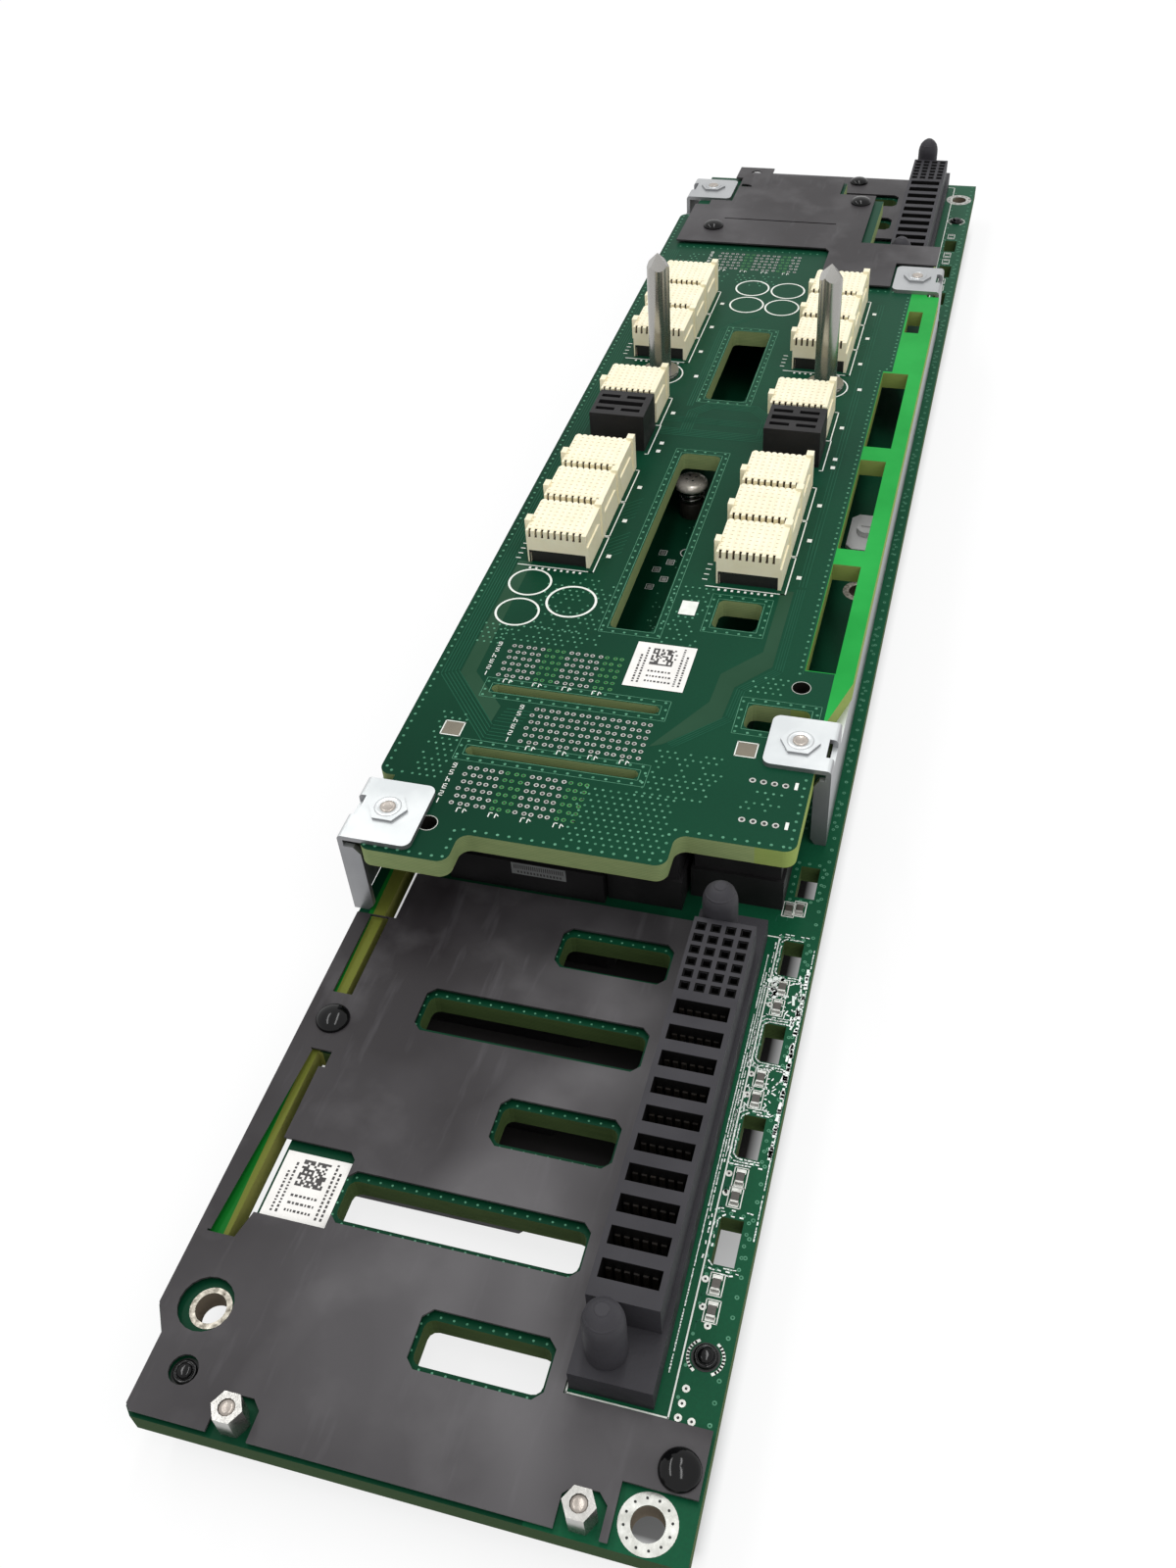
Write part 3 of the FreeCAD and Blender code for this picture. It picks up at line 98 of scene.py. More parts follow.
class Nodes:
    # Short names for the nodes of one tree.
    def __init__(self, tree):
        self.tree = tree

    def add(self, kind, **values):
        node = self.tree.nodes.new(kind)
        for key, value in values.items():
            setattr(node, key, value)
        return node

    def join(self, a, b):
        self.tree.links.new(a, b)

    def put(self, socket, value):
        if isinstance(value, (int, float, tuple)):
            socket.default_value = value
        else:
            self.join(value, socket)

    def math(self, operation, a, b=0.0):
        node = self.add("ShaderNodeMath", operation=operation)
        self.put(node.inputs[0], a)
        self.put(node.inputs[1], b)
        return node.outputs[0]

    def product(self, value, *others):
        for other in others:
            value = self.math("MULTIPLY", value, other)
        return value

    def over(self, value, limit):
        return self.math("GREATER_THAN", value, limit)

    def under(self, value, limit):
        return self.math("LESS_THAN", value, limit)

    def between(self, value, low, high):
        return self.product(self.over(value, low), self.under(value, high))

    def ramp(self, value, ends, low, high):
        node = self.add("ShaderNodeMapRange")
        node.inputs[ends + " Min"].default_value = low
        node.inputs[ends + " Max"].default_value = high
        self.join(value, node.inputs["Value"])
        return node.outputs["Result"]

    def steps(self, value, low, high):
        # 0 at the low value and 1 at the high one.
        return self.ramp(value, "From", low, high)

    def scaled(self, value, low, high):
        # The low value at 0 and the high one at 1.
        return self.ramp(value, "To", low, high)

    def direct_rays(self):
        # 1 for the rays that show the background itself, straight, in metal or through glass.
        rays = self.add("ShaderNodeLightPath").outputs
        seen = self.math("MAXIMUM", rays["Is Camera Ray"], rays["Is Glossy Ray"])
        return self.math("MAXIMUM", seen, rays["Is Transmission Ray"])


class Shader(Nodes):
    # One material. Its colours are given as seen on screen.
    def __init__(self, name):
        self.mat = bpy.data.materials.new(name)
        self.mat.use_nodes = True
        Nodes.__init__(self, self.mat.node_tree)
        self.bsdf = self.tree.nodes["Principled BSDF"]
        self.coord = self.add("ShaderNodeTexCoord")

    def mix(self, factor, a, b):
        node = self.add("ShaderNodeMix", data_type="RGBA")
        self.put(node.inputs[0], factor)
        for socket, colour in ((node.inputs[6], a), (node.inputs[7], b)):
            self.put(socket, tint(*colour) if isinstance(colour, tuple) else colour)
        return node.outputs[2]

    def noise(self, scale, detail=4.0, stretch=None):
        node = self.add("ShaderNodeTexNoise")
        node.inputs["Scale"].default_value = scale
        node.inputs["Detail"].default_value = detail
        source = self.coord.outputs["Object"]
        if stretch:
            mapping = self.add("ShaderNodeMapping")
            mapping.inputs["Scale"].default_value = stretch
            self.join(source, mapping.inputs["Vector"])
            source = mapping.outputs["Vector"]
        self.join(source, node.inputs["Vector"])
        return node.outputs["Fac"]

    def stain(self, ground, colour, share, noise, low, high):
        return self.mix(self.product(self.steps(noise, low, high), share), ground, colour)

    def parts_of(self, kind):
        node = self.add("ShaderNodeSeparateXYZ")
        self.join(self.coord.outputs[kind], node.inputs[0])
        return node.outputs

    def place(self):
        # X, Y and Z in the millimetres of this script.
        x, y, z = [self.math("DIVIDE", part, MM) for part in self.parts_of("Object")]
        return x, self.math("SUBTRACT", y, NEAR_END), self.math("SUBTRACT", z, LOWER_TOP)

    def facing(self):
        return self.parts_of("Normal")

    def bump(self, height, strength, distance=0.0002):
        node = self.add("ShaderNodeBump")
        node.inputs["Strength"].default_value = strength
        node.inputs["Distance"].default_value = distance
        self.join(height, node.inputs["Height"])
        self.join(node.outputs["Normal"], self.bsdf.inputs["Normal"])

    def set(self, **values):
        for key, value in values.items():
            self.put(self.bsdf.inputs[key.replace("_", " ")], value)


def mottled_shader(name, first, second, scale, rough, bump, metal=0.0, stretch=None, specular=0.5):
    # Two close colours in a soft cloud. Roughness and a fine grain follow noises of their own.
    s = Shader(name)
    cloud = s.steps(s.noise(scale, 5.0, stretch), 0.3, 0.7)
    s.set(Base_Color=s.mix(cloud, first, second), Metallic=metal, Specular_IOR_Level=specular)
    s.set(Roughness=s.scaled(s.noise(scale * 2.3, 4.0, stretch), *rough))
    s.bump(s.noise(900.0, 3.0, stretch), bump)
    return s


def mottled(*values, **options):
    return mottled_shader(*values, **options).mat


def zinc_shader():
    # Rolled zinc sheet. Painted light makes the tabs that face up brighter than the bent sides, most of all
    # at the near end.
    s = mottled_shader("zinc_sheet", (154, 155, 157), (132, 133, 136), 40.0, (0.28, 0.44), 0.12, metal=0.7,
                       stretch=(1.0, 0.12, 1.0))
    side = s.bsdf.inputs["Base Color"].links[0].from_socket
    # Painted light: a paler copy of the zinc for the upward faces, fading towards the far end.
    tab = s.mix(s.steps(s.noise(60.0), 0.35, 0.65), (226, 229, 229), (200, 204, 205))
    near = s.math("MAXIMUM", s.steps(s.place()[1], 319.2, 219.2), 0.4)
    upward_light = s.steps(s.facing()[2], 0.6, 0.9)
    s.set(Base_Color=s.mix(s.product(near, upward_light), side, tab))
    return s.mat


def board_shader(name, zones, mask, edge, bare, lined, lining):
    # Solder mask on the faces, layered laminate on the edges, bare bright zones without copper.
    s = Shader(name)
    x, y, z = s.place()
    flat = s.over(s.math("ABSOLUTE", s.facing()[2]), 0.6)
    face = s.mix(s.steps(s.noise(16.0, 3.0), 0.35, 0.65), *mask)
    # Painted sheen makes the mask paler towards the far right, where it catches the sky.
    sheen = s.steps(s.math("ADD", x, s.product(y, 0.25)), -5.2, 144.8)
    face = s.mix(s.product(sheen, 0.4), face, (34, 84, 64))
    face = s.stain(face, (14, 48, 34), 0.12, s.noise(2400.0, 2.0), 0.4, 0.6)
    # Beside the insulating film the lower board is darkened by painted shade from the film.
    beside_film = s.product(s.under(z, 1.0), s.under(x, 19.5))
    face = s.mix(s.product(beside_film, 0.6), face, (5, 36, 24))
    # On the left strip the laminate turns from green to olive towards the long window.
    laminate = s.mix(s.steps(s.noise(50.0, 4.0), 0.3, 0.7), *bare)
    slope = s.math("ADD", x, s.product(y, 0.022))
    laminate = s.mix(s.product(s.over(slope, -36.584), s.under(x, -30.0)), laminate, (104, 110, 46))
    bare_zone = 0.0
    for x0, y0, x1, y1 in zones:
        inside = s.product(s.between(x, x0, x1), s.between(y, y0, y1))
        bare_zone = s.math("MAXIMUM", inside, bare_zone)
    face = s.mix(bare_zone, face, laminate)
    # Glass layers about 0.4 mm apart show on the cut edges.
    layers = s.steps(s.math("SINE", s.product(s.math("ADD", z, LOWER_TOP), 16.0)), -1.0, 1.0)
    side = s.mix(s.product(layers, 0.5), *edge)
    side = s.stain(side, edge[1], 0.3, s.noise(260.0, 4.0, (1.0, 1.0, 5.0)), 0.3, 0.75)
    # Painted shade darkens the edge at the near end and painted light brightens the walls of the long left
    # window. The walls at the upper right are yellow-green laminate.
    near_edge_shade = s.under(y, 1.5)
    lit_left_window = s.product(s.between(x, -40.6, -35.6), s.under(z, 0.5), s.over(y, 25.0))
    upper_right = s.product(s.over(x, 29.0), s.over(z, UPPER - 4.5))
    for part, share, colour in ((near_edge_shade, 0.7, (34, 56, 36)), (lit_left_window, 0.8, (158, 156, 84)),
                                (upper_right, 0.55, (140, 158, 66))):
        side = s.mix(s.product(part, share), side, colour)
    # Walls of the round holes in the lining colour: plated on the lower board, painted shade on the upper
    # board
    for cx, cy in lined:
        dx = s.math("SUBTRACT", x, cx)
        dy = s.math("SUBTRACT", y, cy)
        reach = s.math("ADD", s.product(dx, dx), s.product(dy, dy))
        side = s.mix(s.under(reach, 2.7 ** 2), side, lining)
    s.set(Base_Color=s.mix(flat, side, face), Roughness=s.scaled(flat, 0.75, 0.34), Specular_IOR_Level=0.05)
    s.bump(s.noise(1500.0, 2.0), 0.06)
    return s.mat


def cream_shader(name, centre):
    # Moulded cream housing. The contact block shows black between the two side legs at its foot.
    s = Shader(name)
    x, z = s.place()[::2]
    body = s.mix(s.steps(s.noise(220.0, 4.0), 0.3, 0.7), (246, 238, 210), (239, 230, 198))
    foot = s.product(s.under(z, UPPER + 3.1), s.between(x, centre - 6.3, centre + 6.3))
    tail = s.product(foot, s.under(s.facing()[1], -0.5))
    s.set(Base_Color=s.mix(tail, body, (22, 21, 20)), Roughness=0.5)
    s.set(Subsurface_Weight=0.08, Subsurface_Radius=(0.004, 0.003, 0.0015), Subsurface_Scale=0.2)
    s.bump(s.noise(1800.0, 3.0), 0.15, 0.0001)
    return s.mat


def film_shader():
    # Matt polycarbonate film with random lighter and darker cloudy patches and faint streaks.
    s = Shader("grey_film")
    base = s.mix(s.steps(s.noise(17.0, 5.0), 0.4, 0.64), (42, 39, 41), (72, 70, 72))
    base = s.stain(base, (98, 96, 98), 0.35, s.noise(75.0, 4.0), 0.52, 0.75)
    base = s.stain(base, (116, 114, 116), 0.4, s.noise(34.0, 2.0, (1.0, 0.55, 1.0)), 0.56, 0.72)
    base = s.stain(base, (28, 26, 28), 0.55, s.noise(27.0, 3.0, (0.6, 1.0, 1.0)), 0.6, 0.75)
    base = s.stain(base, (110, 108, 112), 0.25, s.noise(420.0, 3.0, (1.0, 0.15, 1.0)), 0.6, 0.85)
    s.set(Base_Color=base, Roughness=s.scaled(s.noise(40.0, 4.0), 0.34, 0.52), Specular_IOR_Level=0.2)
    s.bump(s.noise(1300.0, 3.0), 0.06)
    return s.mat


def housing_shader():
    # Dark moulded housing. Painted shade makes the walls inside the contact windows almost black.
    s = Shader("charcoal_plastic")
    x, y, z = s.place()
    windows = 0.0
    for shift in SHIFTS:
        windows = s.math("MAXIMUM", s.between(y, 29.0 + shift, 95.2 + shift), windows)
    inside = s.product(s.between(x, 21.95, 31.05), s.between(z, 2.0, 11.65), windows)
    body = s.mix(s.steps(s.noise(90.0, 4.0), 0.3, 0.7), (56, 55, 59), (45, 44, 48))
    s.set(Base_Color=s.mix(inside, body, (12, 11, 11)), Roughness=0.55, Specular_IOR_Level=0.22)
    s.bump(s.noise(900.0, 3.0), 0.25)
    return s.mat


# Zones without copper, as left, near, right and far limits
LOWER_ZONES = [(-39.5, 25.0, -36.0, 112.0)]
UPPER_ZONES = [(29.7, 155.6, 42.0, 274.6), (31.9, 274.5, 42.0, 330.0), (35.5, 141.0, 42.0, 155.7)]
lower_mask = board_shader("lower_mask", LOWER_ZONES, mask=((12, 72, 46), (18, 84, 54)),
                          edge=((82, 100, 58), (48, 66, 38)), bare=((14, 96, 30), (20, 112, 38)),
                          lined=LOWER_HOLES, lining=(116, 106, 92))
# The near-black lining of the upper board's ringed holes is painted shade.
upper_mask = board_shader("upper_mask", UPPER_ZONES, mask=((8, 52, 35), (13, 64, 43)),
                          edge=((150, 162, 112), (96, 122, 80)), bare=((30, 146, 60), (44, 166, 74)),
                          lined=RINGED_HOLES, lining=(30, 27, 25))
film = film_shader()
charcoal = housing_shader()
cream = [cream_shader("cream_left", COLUMNS[0]), cream_shader("cream_right", COLUMNS[1])]
cream_rib = mottled("cream_ribs", (249, 242, 216), (243, 234, 204), 300.0, (0.42, 0.55), 0.1)
cream_mark = mottled("cream_marks", (208, 195, 152), (196, 182, 138), 300.0, (0.5, 0.6), 0.1)
slit_dark = mottled("slit_shadow", (58, 44, 28), (42, 32, 20), 300.0, (0.6, 0.7), 0.1)
black = mottled("black_plastic", (34, 33, 34), (24, 23, 24), 120.0, (0.42, 0.6), 0.2, specular=0.25)
gloss = mottled("gloss_nylon", (12, 12, 13), (7, 7, 8), 200.0, (0.06, 0.12), 0.02, specular=0.22)
# Painted shade: dark flat marks and walls that stand in for the shade in drilled holes, vents and the screw's
# cross recess.
hole_shade = mottled("painted_hole_shade", (20, 26, 22), (12, 14, 12), 500.0, (0.5, 0.7), 0.05)
# Painted shade: near-black mouths round the signal holes.
mouth_shade = mottled("signal_mouth_shade", (12, 12, 12), (8, 8, 8), 300.0, (0.7, 0.8), 0.05, specular=0.05)
zinc = zinc_shader()
steel = mottled("pin_steel", (182, 181, 177), (152, 150, 146), 60.0, (0.14, 0.3), 0.1, metal=0.9,
                stretch=(1.0, 1.0, 0.08))
screw_steel = mottled("screw_steel", (186, 178, 170), (150, 142, 134), 260.0, (0.2, 0.36), 0.2, metal=0.55)
# Painted light: the pan head is much paler than the other steel, so it stays bright in the shade under the
# upper board.
lit_head_steel = mottled("lit_head_steel", (250, 243, 232), (228, 219, 205), 260.0, (0.2, 0.34), 0.1, metal=0.35)
collar_steel = mottled("collar_steel", (72, 68, 62), (44, 42, 38), 260.0, (0.3, 0.45), 0.1, metal=0.3)
# Painted light: the clips get a near-white zinc.
lit_clip_zinc = mottled("lit_clip_zinc", (250, 250, 248), (236, 236, 236), 80.0, (0.3, 0.45), 0.1)
# Painted shade: the contact leaves in the power windows get a darkened bronze.
shaded_bronze = mottled("shaded_contact_bronze", (38, 33, 28), (26, 23, 20), 500.0, (0.3, 0.5), 0.1)
gold = mottled("contact_gold", (214, 178, 96), (190, 150, 70), 500.0, (0.25, 0.4), 0.1, metal=0.9)
tin = mottled("tinned_pad", (190, 191, 186), (154, 154, 148), 500.0, (0.28, 0.46), 0.3, metal=0.6)
dull_tin = mottled("dull_tin", (204, 198, 184), (84, 78, 66), 1300.0, (0.3, 0.5), 0.3, metal=0.6)
chip = mottled("chip_body", (74, 68, 60), (52, 48, 42), 700.0, (0.3, 0.5), 0.1)
ink = mottled("white_ink", (238, 240, 234), (220, 224, 216), 700.0, (0.5, 0.7), 0.1)
trace_ink = mottled("mask_over_trace", (34, 88, 66), (26, 76, 56), 120.0, (0.3, 0.42), 0.03, specular=0.05)
via_ink = mottled("mask_over_via", (100, 156, 128), (66, 122, 94), 700.0, (0.3, 0.45), 0.1, specular=0.06)
green_ring = mottled("mask_over_ring", (80, 152, 90), (56, 124, 70), 700.0, (0.3, 0.45), 0.1, specular=0.06)
plane_ink = mottled("mask_over_plane", (42, 76, 56), (34, 68, 48), 60.0, (0.3, 0.4), 0.03, specular=0.05)
bare_ink = mottled("bare_laminate", (120, 112, 96), (104, 98, 84), 300.0, (0.5, 0.6), 0.05)
# Flux residue and painted glare on the right strip
streak = mottled("flux_and_glare_film", (244, 248, 244), (214, 226, 218), 260.0, (0.12, 0.3), 0.5)
paper = mottled("label_paper", (240, 238, 234), (228, 226, 222), 300.0, (0.55, 0.7), 0.1)
print_grey = mottled("label_print", (70, 68, 68), (50, 48, 48), 900.0, (0.6, 0.75), 0.05)
tag_grey = mottled("tag_grey", (128, 130, 130), (112, 114, 114), 300.0, (0.5, 0.6), 0.05)

# Materials of the CAD nodes, by the start of their names
LOOKS = [("lower_board", lower_mask), ("upper_board", upper_mask), ("lower_insulator", film),
         ("upper_insulator", film), ("power_connector", charcoal), ("left_receptacle", cream[0]),
         ("right_receptacle", cream[1]), ("board_connectors", black), ("power_block", black),
         ("snap_posts", black), ("drive_receptacle", black), ("dome_rivets", gloss), ("guide_pin", steel),
         ("hex_standoffs", steel), ("captive_screw", screw_steel), ("side_rail", zinc), ("rail_nuts", zinc),
         ("clip_", lit_clip_zinc), ("chip_resistors", chip)]
for start, material in LOOKS:
    for name, thing in nodes.items():
        if name.startswith(start):
            if not thing.material_slots:
                thing.data.materials.append(material)
            for place in thing.material_slots:
                place.material = material


def circle(x, y, r, n):
    return [(x + r * math.cos(2 * math.pi * k / n), y + r * math.sin(2 * math.pi * k / n)) for k in range(n)]


class Piece:
    def __init__(self, name, material, slot, smooth=False):
        self.name = name
        self.material = material
        self.slot = slot
        self.smooth = smooth
        self.verts = []
        self.faces = []

    def face(self, points):
        start = len(self.verts)
        self.verts.extend(at(*p) for p in points)
        self.faces.append(tuple(range(start, start + len(points))))

    def box(self, x0, y0, z0, x1, y1, z1):
        start = len(self.verts)
        for z in (z0, z1):
            for x, y in ((x0, y0), (x1, y0), (x1, y1), (x0, y1)):
                self.verts.append(at(x, y, z))
        for quad in ((0, 3, 2, 1), (4, 5, 6, 7), (0, 1, 5, 4), (1, 2, 6, 5), (2, 3, 7, 6), (3, 0, 4, 7)):
            self.faces.append(tuple(start + k for k in quad))

    def wall(self, x0, y0, z0, x1, y1, z1):
        # An upright rectangle over the line from (x0, y0) to (x1, y1).
        self.face([(x0, y0, z0), (x1, y1, z0), (x1, y1, z1), (x0, y0, z1)])

    def rings(self, rings):
        # Joins closed rings of equally many points, one after the other.
        start = len(self.verts)
        count = len(rings[0])
        for points in rings:
            self.verts.extend(at(*p) for p in points)
        for j in range(len(rings) - 1):
            for k in range(count):
                a = start + j * count + k
                b = start + j * count + (k + 1) % count
                self.faces.append((a, b, b + count, a + count))

    def turned(self, x, y, profile, n=32):
        # Turns a profile of (radius, height) around a vertical axis.
        self.rings([[(px, py, z) for px, py in circle(x, y, r, n)] for r, z in profile])

    def done(self, replaces=()):
        mesh = bpy.data.meshes.new(self.name)
        mesh.from_pydata(self.verts, [], self.faces)
        mesh.update()
        thing = bpy.data.objects.new(self.name, mesh)
        bpy.context.collection.objects.link(thing)
        mesh.materials.append(self.material)
        if self.smooth:
            for poly in mesh.polygons:
                poly.use_smooth = True
        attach(thing, "root")
        if replaces:
            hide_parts(*replaces)
        return thing


class Marks(Piece):
    # Flat marks on one level, facing up, or down for the underside.
    def __init__(self, name, level, material, slot="green_board", down=False):
        Piece.__init__(self, name, material, slot)
        self.level = level
        self.down = down

    def flat(self, points):
        if self.down:
            points = points[::-1]
        self.face([(x, y, self.level) for x, y in points])

    def disc(self, x, y, r, n=8):
        self.flat(circle(x, y, r, n))

    def discs(self, spots, r, n=8):
        for x, y in spots:
            self.disc(x, y, r, n)

    def ring(self, x, y, inner, outer, n=16):
        inside = circle(x, y, inner, n)
        outside = circle(x, y, outer, n)
        for k in range(n):
            after = (k + 1) % n
            self.flat([inside[k], outside[k], outside[after], inside[after]])

    def rect(self, x0, y0, x1, y1):
        self.flat([(x0, y0), (x1, y0), (x1, y1), (x0, y1)])

    def line(self, points, width):
        # Strokes that reach a little past their ends, so that they close at the bends.
        for (x0, y0), (x1, y1) in zip(points, points[1:]):
            length = math.hypot(x1 - x0, y1 - y0)
            if length < 1e-6:
                continue
            nx = -(y1 - y0) / length * width / 2
            ny = (x1 - x0) / length * width / 2
            ex = (x1 - x0) / length * width * 0.35
            ey = (y1 - y0) / length * width * 0.35
            self.flat([(x0 + nx - ex, y0 + ny - ey), (x0 - nx - ex, y0 - ny - ey),
                       (x1 - nx + ex, y1 - ny + ey), (x1 + nx + ex, y1 + ny + ey)])

    def frame(self, x0, y0, x1, y1, width):
        self.line([(x0, y0), (x1, y0), (x1, y1), (x0, y1), (x0, y0)], width)


def along_path(points, pitch, closed=False):
    # Evenly spaced spots along a polyline.
    if closed:
        points = list(points) + [points[0]]
    spots = []
    carry = 0.0
    for (x0, y0), (x1, y1) in zip(points, points[1:]):
        length = math.hypot(x1 - x0, y1 - y0)
        d = carry
        while d < length:
            spots.append((x0 + (x1 - x0) * d / length, y0 + (y1 - y0) * d / length))
            d += pitch
        carry = d - length
    return spots


def rim(x0, y0, x1, y1, out):
    return [(x0 - out, y0 - out), (x1 + out, y0 - out), (x1 + out, y1 + out), (x0 - out, y1 + out)]


def strip_slot(middle, out):
    return rim(35.6, middle - 3.85, 39.1, middle + 3.85, out)


# Marks of the upper board, one piece for each kind
top = UPPER + LIFT
silk = Marks("silkscreen_upper", top + 0.03, ink)
pads = Marks("tinned_holes_upper", top + 0.01, tin)
# Drilled holes as dark discs of painted shade
holes = Marks("drilled_holes_upper", top + 0.04, hole_shade)
vias = Marks("stitching_vias_upper", top + 0.01, via_ink)
tracks = Marks("traces_upper", top, trace_ink)
planes = Marks("copper_planes_upper", top - 0.01, plane_ink)
green_rings = Marks("covered_rings_upper", top + 0.01, green_ring)

# Rows of stitching vias inside the upper board's outline and around its windows
near_outline = [(-37.4, 93.9), (-22.9, 93.9), (-22.9, 101.0), (14.1, 101.0), (14.1, 108.8), (34.9, 108.8)]
right_side = [(34.9, 108.8), (34.9, 126.5)]
left_side = [(-37.4, 112.6), (-40.7, 112.6), (-40.7, 360.0), (-37.4, 360.0)]
for path in (near_outline, right_side, left_side):
    vias.discs(along_path(path, 2.1), 0.3)
for window in ((-11.2, 161.4, -1.9, 228.4), (-11.4, 253.9, -1.4, 289.9), (9.0, 165.4, 18.1, 174.6),
               (21.1, 137.0, 32.9, 143.9), (-28.6, 137.5, 4.8, 139.7), (-27.8, 119.6, 5.2, 121.8)):
    vias.discs(along_path(rim(*window, 1.2), 2.4, True), 0.3)
    for out, width in ((1.75, 0.11), (0.25, 0.13)):
        border = rim(*window, out)
        vias.line(border + border[:1], width)
vias.discs(along_path([(28.9, 154.5), (28.9, 274.6), (31.2, 276.2), (31.2, 317.0)], 2.0), 0.28)
tracks.line([(29.5, 154.5), (29.5, 275.0), (31.7, 276.4), (31.7, 317.0)], 0.2)
vias.discs(along_path([(6.8, 318.2), (27.0, 318.2)], 2.0), 0.24)
vias.discs(along_path([(-37.0, 338.6), (5.0, 338.6)], 2.0), 0.24)

# Strokes of the row numbers, on a grid from -1 to 1
DIGITS = {
    1: [[(0, -1), (0, 1)]],
    2: [[(-1, 1), (1, 1), (1, 0), (-1, 0), (-1, -1), (1, -1)]],
    3: [[(-1, 1), (1, 1), (1, -1)], [(-1, 0), (1, 0)], [(-1, -1), (1, -1)]],
    4: [[(-1, 1), (-1, 0), (1, 0)], [(1, 1), (1, -1)]],
    5: [[(1, 1), (-1, 1), (-1, 0), (1, 0), (1, -1), (-1, -1)]],
    6: [[(1, 1), (-1, 1), (-1, -1), (1, -1), (1, 0), (-1, 0)]],
}


def digit(number, cx, cy, height):
    # The numbers stand upside down as seen from the near end.
    for stroke in DIGITS[number]:
        silk.line([(cx - x * height * 0.28, cy - y * height * 0.5) for x, y in stroke], height * 0.17)


def field(x0, y1, covered=()):
    # Press-fit field: six rows of sixteen holes in pairs, odd rows shifted by one hole.
    for row in range(6):
        odd = row % 2
        py = y1 - 1.85 * row
        for k in range(16):
            pair, second = divmod(k + odd, 2)
            px = x0 + 3.0 * pair + 1.3 * second - 1.7 * odd
            if k in covered:
                green_rings.ring(px, py, 0.24, 0.46, 12)
            else:
                pads.ring(px, py, 0.25, 0.47, 12)
            holes.disc(px, py, 0.25)
        digit(6 - row, x0 - 3.0, py, 1.1)
    low = y1 - 11.3
    for k in range(4):
        px = x0 + 1.2 + 6.0 * k
        silk.line([(px, low), (px, low + 1.0), (px + 0.55, low + 1.0)], 0.2)
        silk.line([(px + 1.2, low), (px + 1.2, low + 1.0), (px + 1.75, low + 0.5)], 0.2)


field(-28.2, 151.8, (5, 6, 7, 13, 14, 15))
field(-18.1, 134.2)
field(-25.4, 116.2, (5, 6, 7, 13, 14, 15))
field(-23.8, 335.6, (5, 6, 12, 13))


def scatter(x0, y0, x1, y1, keep, pitch=1.45):
    # A staggered field of small vias in which some are missing.
    for j in range(int((y1 - y0) / pitch) + 1):
        for k in range(int((x1 - x0) / pitch) + 1):
            if random.random() < keep:
                px = x0 + k * pitch + (pitch / 2 if j % 2 else 0.0)
                vias.disc(px, y0 + j * pitch, 0.27, 6)


for zone in (
    (-35.4, 112.6, -31.0, 131.0, 0.9), (-3.6, 102.6, 13.0, 116.4, 1.0), (6.0, 116.4, 18.6, 122.0, 0.95),
    (7.6, 122.0, 19.4, 128.0, 0.8), (-36.2, 152.0, -30.6, 158.0, 0.8), (-31.8, 153.8, -12.0, 158.4, 0.85),
    (-27.4, 158.6, -13.6, 177.0, 0.6), (-1.0, 158.8, 7.4, 179.0, 0.6), (20.6, 147.6, 27.4, 152.6, 0.85),
    (24.8, 116.6, 31.8, 121.8, 0.8), (-35.6, 318.0, -27.0, 334.0, 0.5), (-22.6, 316.6, -4.0, 322.6, 0.5),
):
    scatter(*zone)


def bundle(points, count, pitch, width):
    # Parallel traces that keep their spacing round each bend.
    headings = [math.atan2(y1 - y0, x1 - x0) for (x0, y0), (x1, y1) in zip(points, points[1:])]
    arriving = headings[:1] + headings
    leaving = headings + headings[-1:]
    for k in range(count):
        shift = (k - (count - 1) / 2) * pitch
        run = []
        for (px, py), first, second in zip(points, arriving, leaving):
            half = (second - first) / 2
            heading = first + half + math.pi / 2
            reach = shift / max(math.cos(half), 0.3)
            run.append((px + math.cos(heading) * reach, py + math.sin(heading) * reach))
        tracks.line(run, width)


for k in range(6):
    tracks.line([(-39.9 + 0.62 * k, 336.0), (-39.9 + 0.62 * k, 140.6 + 0.35 * k),
                 (-25.6 + 0.1 * k, 123.5 + 0.95 * k), (-20.6, 123.5 + 0.95 * k)], 0.2)
for k in range(5):
    tracks.line([(-25.0 + 0.3 * k, 129.4 + 0.95 * k), (-20.0 + 0.3 * k, 129.4 + 0.95 * k)], 0.2)
for shape in (
    [(-36.2, 180.0), (-36.2, 141.8), (-25.6, 129.0), (-25.2, 133.6), (-33.2, 142.6), (-33.2, 180.0)],
    [(5.2, 128.4), (7.6, 129.6), (16.8, 138.6), (17.4, 148.0), (23.4, 155.4), (23.4, 180.0), (20.8, 180.0),
     (20.8, 159.6), (14.0, 151.4), (13.6, 143.0)],
):
    planes.flat(shape[::-1])
bundle([(24.8, 181.0), (24.8, 154.4), (18.8, 147.6), (18.2, 139.0), (9.0, 129.6)], 4, 0.5, 0.18)
bundle([(-12.8, 238.0), (-12.8, 247.0), (-9.0, 251.0), (1.6, 251.0), (5.8, 246.5), (5.8, 238.0)],
       5, 0.62, 0.24)
bundle([(-19.0, 237.6), (6.2, 237.6)], 5, 0.7, 0.24)
bundle([(-19.4, 243.4), (-6.0, 243.4), (5.6, 243.4)], 4, 0.7, 0.22)
bundle([(-14.4, 250.0), (-14.4, 290.0), (-12.0, 293.6), (-6.0, 300.0)], 3, 0.6, 0.22)
bundle([(24.8, 182.0), (24.8, 310.0)], 3, 0.7, 0.2)
for k in range(6):
    tracks.line([(-19.6, 183.0 + k * 1.5), (-15.2, 187.0 + k * 1.5)], 0.22)
    tracks.line([(-19.6, 197.0 + k * 1.5), (-15.6, 200.6 + k * 1.5)], 0.2)
    tracks.line([(21.8, 286.0 + k * 1.6), (24.6, 289.0 + k * 1.6)], 0.2)

